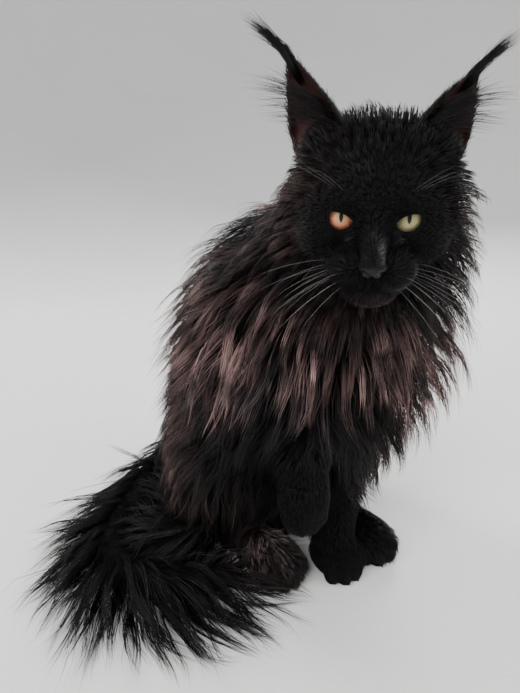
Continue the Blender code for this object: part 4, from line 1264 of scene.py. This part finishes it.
def coat_material():
    """Black hair whose marked tufts turn rusty or grey towards their tips: the rust's bright locks are a
    painted rosy highlight, and the grey is grey hair and a painted sheen and glints by the nose and eyes.
    """
    made = Nodes("coat")
    shade, tip = made.number("Shade"), made.number("Tip")
    patches = made.scaled(made.noise(34, 2), 4.0, -1.25)
    reach = made.scaled(tip, 0.8, 0.3)
    strength = made.scaled(shade, 1.9, 0.15)
    dark = made.mix(shade, BLACK, SOOT)
    # Rust on the darker locks, a painted rosy highlight on the brighter ones
    warm = made.mix(shade, RUST, ROSY_HIGHLIGHT)
    amount = made.times(made.number("RustAndHighlight"), patches)
    amount = made.times(amount, made.times(reach, strength))
    colour = made.mix(made.clamped(amount), dark, warm)
    amount = made.times(made.number("GreyAndSheen"), strength)
    # Grey hair, and the painted sheen and glints by the nose and eyes
    colour = made.mix(made.clamped(amount), colour, made.mix(shade, GREY_AND_SHEEN_DARK, GREY_AND_SHEEN_PALE))
    return made.finish(Base_Color=colour, Roughness=0.40, Specular_IOR_Level=0.10)


def skin_material():
    """Dark skin with a nap of very short fur, a little rusty and grey under the marked coat, the grey on the
    bridge of the nose a painted sheen, and pebbled leather on the nose.
    """
    made = Nodes("skin")
    leather = made.number("Leather")
    rust = made.times(made.number("RustAndHighlight"), 0.3)
    # The painted sheen on the bridge of the nose, and a little grey elsewhere
    grey = made.times(made.number("GreyAndSheen"), 0.2)
    under = made.mix(rust, SKIN_BLACK, SKIN_RUST)
    under = made.mix(grey, under, GREY_AND_SHEEN_DARK)
    pores = made.mix(made.noise(1100, 2), LEATHER_DARK, LEATHER_PALE)
    colour = made.mix(leather, under, pores)
    shine = made.scaled(leather, 0.12, 0.05)
    rough = made.scaled(leather, -0.42, 0.85)
    nap = made.bump(made.noise(900, 2), 0.35, NAP)
    return made.finish(Base_Color=colour, Specular_IOR_Level=shine, Roughness=rough, Normal=nap)


def ear_material():
    made = Nodes("ear_skin")
    flesh = made.mix(made.noise(60, 4), EAR_DARK, EAR_PINK)
    colour = made.mix(made.number("Inner"), EAR_BLACK, flesh)
    nap = made.bump(made.noise(500, 2), 0.4, NAP)
    return made.finish(Base_Color=colour, Roughness=0.62, Specular_IOR_Level=0.15, Normal=nap)


def whisker_material():
    made = Nodes("whiskers")
    return made.finish(Base_Color=made.mix(made.number("Tip"), WHISKER_ROOT, WHISKER_TIP), Roughness=0.35)


# The eyes, in millimetres
IRIS_RADIUS = 8.9
PUPIL_WIDTH, PUPIL_HEIGHT = 2.9, 7.6
GAZE_POINTS = {"right": mm(-258, -515, 334), "left": mm(-226, -536, 344)}
CORNEA_BULGE = 1.0
# Each iris is given by its colour near the pupil, its colour outside, and the dark of its fibres
IRIS_COLOURS = {
    "right": ((0.40, 0.29, 0.14), (0.72, 0.28, 0.16), (0.44, 0.17, 0.09)),
    "left": ((0.30, 0.30, 0.14), (0.54, 0.46, 0.25), (0.28, 0.25, 0.11)),
}


def iris_material(name, near, far, fibre):
    """A slit pupil in an iris of fine rays, with a dark rim. The eye looks along its own -Y."""
    made = Nodes(name)
    place = made.add("SeparateXYZ")
    made.feed(place.inputs[0], made.add("TexCoord").outputs["Object"])
    x, z = [made.maths("DIVIDE", place.outputs[k], IRIS_RADIUS * MM) for k in (0, 2)]
    radius = made.maths("SQRT", made.maths("ADD", made.times(x, x), made.times(z, z)))
    rays = made.add("CombineXYZ")
    made.feed(rays.inputs[0], made.times(made.maths("ARCTAN2", z, x), 7.0))
    made.feed(rays.inputs[1], made.times(radius, 1.6))
    fibres = made.noise(2.4, 4, rays.outputs[0])
    iris = made.mix(made.clamped(made.scaled(radius, 3.2, -0.85)), near, far)
    iris = made.mix(made.clamped(made.scaled(fibres, -2.4, 1.35)), iris, fibre)
    iris = made.mix(made.clamped(made.scaled(radius, 7.0, -6.1)), iris, IRIS_RIM)
    height = made.maths("DIVIDE", z, PUPIL_HEIGHT / 2 / IRIS_RADIUS)
    width = made.maths("SUBTRACT", 1.0, made.times(height, height))
    width = made.times(width, PUPIL_WIDTH / 2 / IRIS_RADIUS)
    gap = made.maths("SUBTRACT", width, made.maths("ABSOLUTE", x))
    colour = made.mix(made.clamped(made.times(gap, 30.0)), iris, PUPIL_BLACK)
    return made.finish(Base_Color=colour, Roughness=0.35, Specular_IOR_Level=0.08, Coat_Weight=0.3,
                       Coat_Roughness=0.02)


def eye_piece(side):
    """An eye that looks at its gaze point, its cornea standing a little proud of the ball."""
    eye = EYES[side]
    bpy.ops.mesh.primitive_uv_sphere_add(segments=48, ring_count=32, radius=EYE_RADIUS * MM)
    made = bpy.context.object
    made.name = "eye_ball_" + side
    made.data.transform(Matrix.Rotation(math.radians(90), 4, "X"))
    places = points_of(made)
    turned = np.arccos(np.clip(-places[:, 1] / (EYE_RADIUS * MM), -1, 1))
    bulge = 1 + CORNEA_BULGE / EYE_RADIUS * np.exp(-(turned / math.radians(38))**4)
    made.data.vertices.foreach_set("co", (places * bulge[:, None]).ravel())
    made.data.shade_smooth()
    forward = unit(GAZE_POINTS[side] - eye.centre)
    right = unit(np.cross(forward, (0, 0, 1)))
    axes = np.stack([right, -forward, np.cross(right, forward)], axis=1)
    made.matrix_world = Matrix.Translation(Vector(eye.centre)) @ Matrix(axes).to_4x4()
    made.data.materials.append(iris_material("iris_" + side, *IRIS_COLOURS[side]))
    return made


# Ears and whiskers
def curved(starts, controls, ends, stations):
    """Lines that leave each start towards its control point and bend to its end."""
    t = np.linspace(0, 1, stations)[None, :, None]
    return starts[:, None] * (1 - t)**2 + 2 * controls[:, None] * t * (1 - t) + ends[:, None] * t**2


class Ear:
    """Root, tip and axes of an ear, which run across, back and along it."""

    def __init__(self, side):
        sign = 1 if side == "left" else -1
        self.root = on_head(sign * EAR_BASE[0], EAR_BASE[1], EAR_BASE[2])
        self.tip, self.tuft_tip = on_head(*EAR_TIPS[side]), on_head(*TUFT_TIPS[side])
        self.height = np.linalg.norm(self.tip - self.root)
        self.along = unit(self.tip - self.root)
        facing = HEAD_AXES @ unit((sign * EAR_FACING[0], *EAR_FACING[1:]))
        self.back = -unit(facing - self.along * (facing @ self.along))
        self.across = np.cross(self.along, self.back) * -1
        outer = unit(np.cross(self.back, self.along))
        self.outer = outer * np.sign(outer @ HEAD_AXES[:, 0]) * sign

    def place(self, outward, behind, share):
        """Points from millimetres outward and behind, and a share of the height."""
        outward, behind, share = np.broadcast_arrays(outward, behind, share)
        return (self.root + self.outer * outward[:, None] * MM + self.back * behind[:, None] * MM
                + self.along * self.height * share[:, None])

    def ring(self, share):
        """The cup's outline at a share of the height: round the outside, then back along the hollow."""
        up = max(share, 0)
        half = EAR_WIDTH / 2 * MM
        width = half * max(1 - up**1.25, 0.05) * (1 + 0.10 * math.sin(math.pi * up)) - 0.4 * MM
        depth = EAR_DEPTH * width
        hollow = np.clip((share - 0.06) / 0.22, 0, 1) * 0.92
        middle = self.root + self.along * self.height * share + self.back * self.height * 0.10 * share**2
        thick = min(EAR_WALL, 0.35 * width)
        ring = [(width * math.sin(t), depth * math.cos(t)) for t in EAR_OUTER_TURNS]
        for t in EAR_INNER_TURNS:
            rim = (width - thick) * math.sin(t)
            ring.append((rim, (depth - thick) * math.cos(t) * hollow - 0.06 * depth * (1 - hollow)))
        return np.array([middle + self.across * a + self.back * b for a, b in ring])

    def cup(self, name):
        """The cup as an object, with a note of how far each point lies inside it."""
        rings = [self.ring(share) for share in np.linspace(-0.12, 1.0, EAR_RINGS)]
        count = len(rings[0])
        quads = tube_quads(EAR_RINGS, count)
        last = (EAR_RINGS - 1) * count
        corners = np.concatenate([quads.ravel(), np.arange(count)[::-1], np.arange(last, last + count)])
        sizes = np.concatenate([np.full(len(quads), 4), [count, count]])
        made = joined_mesh(name, np.concatenate(rings), corners, sizes)
        inner = [0.0] * len(EAR_OUTER_TURNS) + [1.0] * len(EAR_INNER_TURNS)
        set_numbers(made, "Inner", inner * EAR_RINGS)
        return made


def ear_tuft(ear, count):
    """The long tuft at the tip."""
    starts = ear.place(DRAW.uniform(-2.5, 2.5, count), DRAW.uniform(4, 7.5, count),
                       DRAW.uniform(0.62, 0.99, count))
    reach = DRAW.uniform(0.35, 1.05, count)[:, None]
    stray = DRAW.normal(0, 2.2, (count, 3)) * MM * (0.4 + reach)
    ends = ear.tip + (ear.tuft_tip - ear.tip) * reach + stray
    controls = ear.tip + ear.along * 7 * MM + DRAW.normal(0, 1.2, (count, 3)) * MM
    return hair(curved(starts, controls, ends, 5), ear.back, 0.45, count)


def ear_furnishings(ear, count):
    """Long hair that starts at the inner edge and crosses the opening, some of it past the outer edge."""
    half = EAR_WIDTH / 2
    share = DRAW.uniform(0.02, 0.42, count)
    reach = share + DRAW.uniform(0.3, 0.7, count)
    starts = ear.place(-half * (1 - share) * DRAW.uniform(0.7, 0.98, count), DRAW.uniform(0, 4, count), share)
    middle = ear.place(-half * 0.25 * np.ones(count), DRAW.uniform(-11, -5, count), (share + reach) / 2)
    ends = ear.place(half * DRAW.uniform(0.1, 1.7, count), DRAW.uniform(-9, -2, count), reach)
    return hair(curved(starts, middle, ends, 5), -ear.back, 0.34, count)


def ear_fur(ear, cup, count):
    """Short fur over the back of the ear and along its edges."""
    mesh = cup.data
    mesh.calc_loop_triangles()
    corners = np.array([triangle.vertices for triangle in mesh.loop_triangles])
    inner = np.empty(len(mesh.vertices))
    mesh.attributes["Inner"].data.foreach_get("value", inner)
    corners = corners[inner[corners].sum(axis=1) < 2]
    places = points_of(cup)[corners]
    faces = np.cross(places[:, 1] - places[:, 0], places[:, 2] - places[:, 0])
    areas = np.linalg.norm(faces, axis=1)
    picked = DRAW.choice(len(places), count, p=areas / areas.sum())
    shares = DRAW.dirichlet((1, 1, 1), count)
    starts = (places[picked] * shares[:, :, None]).sum(axis=1)
    normals = units(faces[picked])
    lie = units(ear.along + normals * 0.35 + DRAW.normal(0, 0.16, (count, 3)))
    ends = starts + lie * (DRAW.uniform(4, 8, count) * MM)[:, None]
    middles = starts + (lie + normals * 0.3) * 2.4 * MM
    return hair(curved(starts, middles, ends, 3), normals, 0.55, count)


def hair(lines, normal, width, count):
    normals = np.broadcast_to(normal, (count, 3))
    widths = width * MM * DRAW.uniform(0.6, 1.2, count)
    return Tufts(lines, normals, widths, lines[:, 0], DRAW.random(count))


MUZZLE_WHISKER, BROW_WHISKER = 0.30, 0.22
MUZZLE_SAG, BROW_SAG = 15, 5
WHISKER_ROWS, WHISKER_COLUMNS, BROW_WHISKERS = 3, 4, 3


def whiskers():
    """Whiskers on the muzzle and brows, in head millimetres: where they start, how they run and sag."""
    lines = []
    for side in (-1, 1):
        for row in range(WHISKER_ROWS):
            for column in range(WHISKER_COLUMNS):
                start = (side * (13 + 3.2 * column), -23 + 4.4 * column, -23 - 4.2 * row)
                way = unit((side * (1.0 + 0.1 * column), -0.20 + 0.2 * column, -0.28 - 0.24 * row))
                way = way * DRAW.uniform(50, 76) * (0.75 + 0.1 * column)
                lines.append((start, way, MUZZLE_SAG, MUZZLE_WHISKER))
        for k in range(BROW_WHISKERS):
            start = (side * (17 + 3 * k), 0.5 + k, 15 + 0.6 * k)
            way = unit((side * (0.75 + 0.2 * k), -0.2 + 0.1 * k, 0.8)) * DRAW.uniform(30, 44)
            lines.append((start, way, BROW_SAG, BROW_WHISKER))
    starts = np.array([on_head(*start) for start, _, _, _ in lines])
    ways = np.array([HEAD_AXES @ way for _, way, _, _ in lines]) * MM
    sags = np.array([(0, 0, -sag) for _, _, sag, _ in lines]) * MM
    widths = np.array([width for _, _, _, width in lines]) * MM
    runs = curved(starts, starts + ways * 0.55, starts + ways + sags, 5)
    normals = np.tile((0.0, 0.0, 1.0), (len(lines), 1))
    return Tufts(runs, normals, widths, starts, np.zeros(len(lines)))


# The whole cat
class Whole:
    """Body and tail as one surface, for the skin."""

    def __init__(self, body, tail):
        self.body, self.tail = body, tail

    def distance(self, points, level=SKIN_LEVEL):
        return smooth_min(self.body.distance(points, level), self.tail.distance(points, level), TAIL_BLEND)


RING_NAMES = {1: "shortest", 2: "short", 3: "middle", 4: "long", 5: "longest"}
EAR_FUR, EAR_TUFT, EAR_FURNISHING = 3600, 190, 150
FLESH_NODES = (
    "head", "neck", "torso", "foreleg_left", "foreleg_right", "hindleg_left", "hindleg_right",
    "hindpaw_left", "hindpaw_right", "tail_base", "tail_middle", "tail_tip",
)


def place_tufts(tufts, name, unwrap, material):
    """Makes the tufts' objects, in pieces that stay under the limit on faces."""
    rings = tufts.lines.shape[1] - 1
    most = FACES_A_PIECE // (6 * rings - 2)
    count = len(tufts.lines)
    parts = math.ceil(count / most)
    for k in range(parts):
        rows = slice(k * count // parts, (k + 1) * count // parts)
        piece = tufts.part(rows).object("%s_%d" % (name, k + 1), unwrap)
        piece.data.materials.append(material)
        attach(piece, BODY)


def grow_coat(body, tail, skin, unwrap):
    """Grows the coat of body and tail on the skin, and gives back its material."""
    material = coat_material()
    over_body = density_over(body, BODY_STRETCHES)
    over_tail = density_over(tail, (TAIL_COAT,))

    def density(points):
        on_tail = tail.distance(points) < body.distance(points)
        return np.where(on_tail, over_tail(points), over_body(points))

    roots = scattered(skin, density)
    on_tail = tail.distance(roots) < body.distance(roots)
    for name, flesh, stretches, picked in (
            ("coat_body", body, BODY_STRETCHES, ~on_tail), ("coat_tail", tail, (TAIL_COAT,), on_tail)):
        for tufts in combed(flesh, stretches, roots[picked]):
            rings = tufts.lines.shape[1] - 1
            place_tufts(tufts, "%s_%s" % (name, RING_NAMES[rings]), unwrap, material)
    return material


def dress_ears(material):
    skin = ear_material()
    for side in ("left", "right"):
        ear = Ear(side)
        cup = ear.cup("ear_cup_" + side)
        cup.data.materials.append(skin)
        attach(cup, BODY)
        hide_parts("ear_" + side)
        unwrap = Unwrap(cup)
        for name, tufts, slot in (
                ("ear_fur_", ear_fur(ear, cup, EAR_FUR), "short_coat"),
                ("ear_tuft_", ear_tuft(ear, EAR_TUFT), "long_coat"),
                ("ear_furnishing_", ear_furnishings(ear, EAR_FURNISHING), "long_coat")):
            place_tufts(tufts, name + side, unwrap, material)


def dress_eyes():
    for side in ("left", "right"):
        made = eye_piece(side)
        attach(made, BODY)
        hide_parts("eye_" + side)


def dress_skin(skin):
    points = points_of(skin)
    set_numbers(skin, "Leather", ramp(-leather_gap(points), -1.15, -0.95))
    # Rust, and the painted rosy highlights, by the skin's markings
    set_numbers(skin, "RustAndHighlight", marked(RUST_AND_HIGHLIGHTS, points))
    # Grey, and the painted sheen on the bridge of the nose, by the skin's markings
    set_numbers(skin, "GreyAndSheen", marked(GREY_AND_SHEEN, points))
    skin.data.materials.append(skin_material())
    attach(skin, BODY)
    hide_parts(*FLESH_NODES)


# Studio
CAMERA_PLACE = Vector((-0.263, -0.514, 0.350))
CAMERA_AZIMUTH, CAMERA_PITCH = math.radians(-30), math.radians(-16)
FOCAL_PIXELS, IMAGE_HEIGHT, SENSOR = 500, 693, 36
FLOOR_RADIUS, SWEEP_RADIUS, WALL_TOP = 1.5, 2.6, 3.4
STAGE_SIDES, SWEEP_STEPS = 96, 24
FLOOR_COLOURS = ((0.66, 0.65, 0.64), (0.70, 0.69, 0.68))
SKY_COLOUR, SKY_STRENGTH = (0.92, 0.94, 0.97, 1), 0.75
# Each light is given by its name, place, width and power, and looks at the lit place
LIT_PLACE = (0, -0.1, 0.2)
LIGHTS = (
    ("key", (-1.5, -1.3, 1.9), 1.3, 54), ("fill", (1.3, -1.6, 1.0), 1.4, 22),
    ("window", (-1.9, -0.6, 1.1), 0.6, 16), ("catch", (0.70, -1.98, 0.80), 0.2, 8),
    ("rim_left", (-0.9, 1.6, 1.6), 1.0, 44), ("rim_right", (1.5, 1.1, 1.4), 1.0, 42),
)


def aimed(name, data, place, ahead):
    made = bpy.data.objects.new(name, data)
    made.location = place
    made.rotation_mode = "QUATERNION"
    made.rotation_quaternion = ahead.to_track_quat("-Z", "Y")
    bpy.context.scene.collection.objects.link(made)
    return made


def soft_light(name, place, size, power):
    light = bpy.data.lights.new(name, "AREA")
    light.shape, light.size, light.energy = "DISK", size, power
    aimed(name, light, place, Vector(LIT_PLACE) - Vector(place))


def stage_profile():
    """Radii and heights of a floor that curves up into a wall, so that no horizon shows."""
    turns = np.linspace(0, math.pi / 2, SWEEP_STEPS)
    radii = [FLOOR_RADIUS * 0.3, FLOOR_RADIUS * 0.65, *(FLOOR_RADIUS + SWEEP_RADIUS * np.sin(turns))]
    heights = [0, 0, *(SWEEP_RADIUS * (1 - np.cos(turns)))]
    return np.array(radii + [radii[-1]]), np.array(heights + [WALL_TOP])


def stage_floor():
    radii, heights = stage_profile()
    angles = np.linspace(0, 2 * math.pi, STAGE_SIDES, endpoint=False)
    circle = np.stack([np.cos(angles), np.sin(angles)], axis=1)
    rings = [np.column_stack([radius * circle, np.full(STAGE_SIDES, height)])
             for radius, height in zip(radii, heights)]
    quads = tube_quads(len(radii), STAGE_SIDES)
    corners = np.concatenate([np.arange(STAGE_SIDES), quads[:, ::-1].ravel()])
    sizes = np.concatenate([[STAGE_SIDES], np.full(len(quads), 4)])
    return joined_mesh("floor", np.concatenate(rings), corners, sizes)


def studio():
    floor = stage_floor()
    pale = Nodes("floor")
    colour = pale.mix(pale.noise(3, 2), *FLOOR_COLOURS)
    floor.data.materials.append(pale.finish(Base_Color=colour, Roughness=0.9))
    world = bpy.data.worlds.new("studio")
    bpy.context.scene.world = world
    world.use_nodes = True
    back = world.node_tree.nodes["Background"]
    back.inputs["Color"].default_value = SKY_COLOUR
    back.inputs["Strength"].default_value = SKY_STRENGTH
    for name, place, size, power in LIGHTS:
        soft_light(name, place, size, power)


def camera():
    shot = bpy.data.cameras.new("camera")
    shot.sensor_width = SENSOR
    shot.lens = FOCAL_PIXELS / IMAGE_HEIGHT * SENSOR
    shot.clip_start = 0.01
    flat = math.cos(CAMERA_PITCH)
    ahead = (-math.sin(CAMERA_AZIMUTH) * flat, math.cos(CAMERA_AZIMUTH) * flat, math.sin(CAMERA_PITCH))
    bpy.context.scene.camera = aimed("camera", shot, CAMERA_PLACE, Vector(ahead))


def main():
    body, tail = body_flesh(SKIN_LEVEL), Flesh([tail_forms()])
    skin = skin_of("skin", Whole(body, tail), body_axes())
    unwrap = Unwrap(skin)
    dress_skin(skin)
    dress_eyes()
    coat = grow_coat(body, tail, skin, unwrap)
    dress_ears(coat)
    place_tufts(whiskers(), "whiskers", unwrap, whisker_material())
    studio()
    camera()


main()
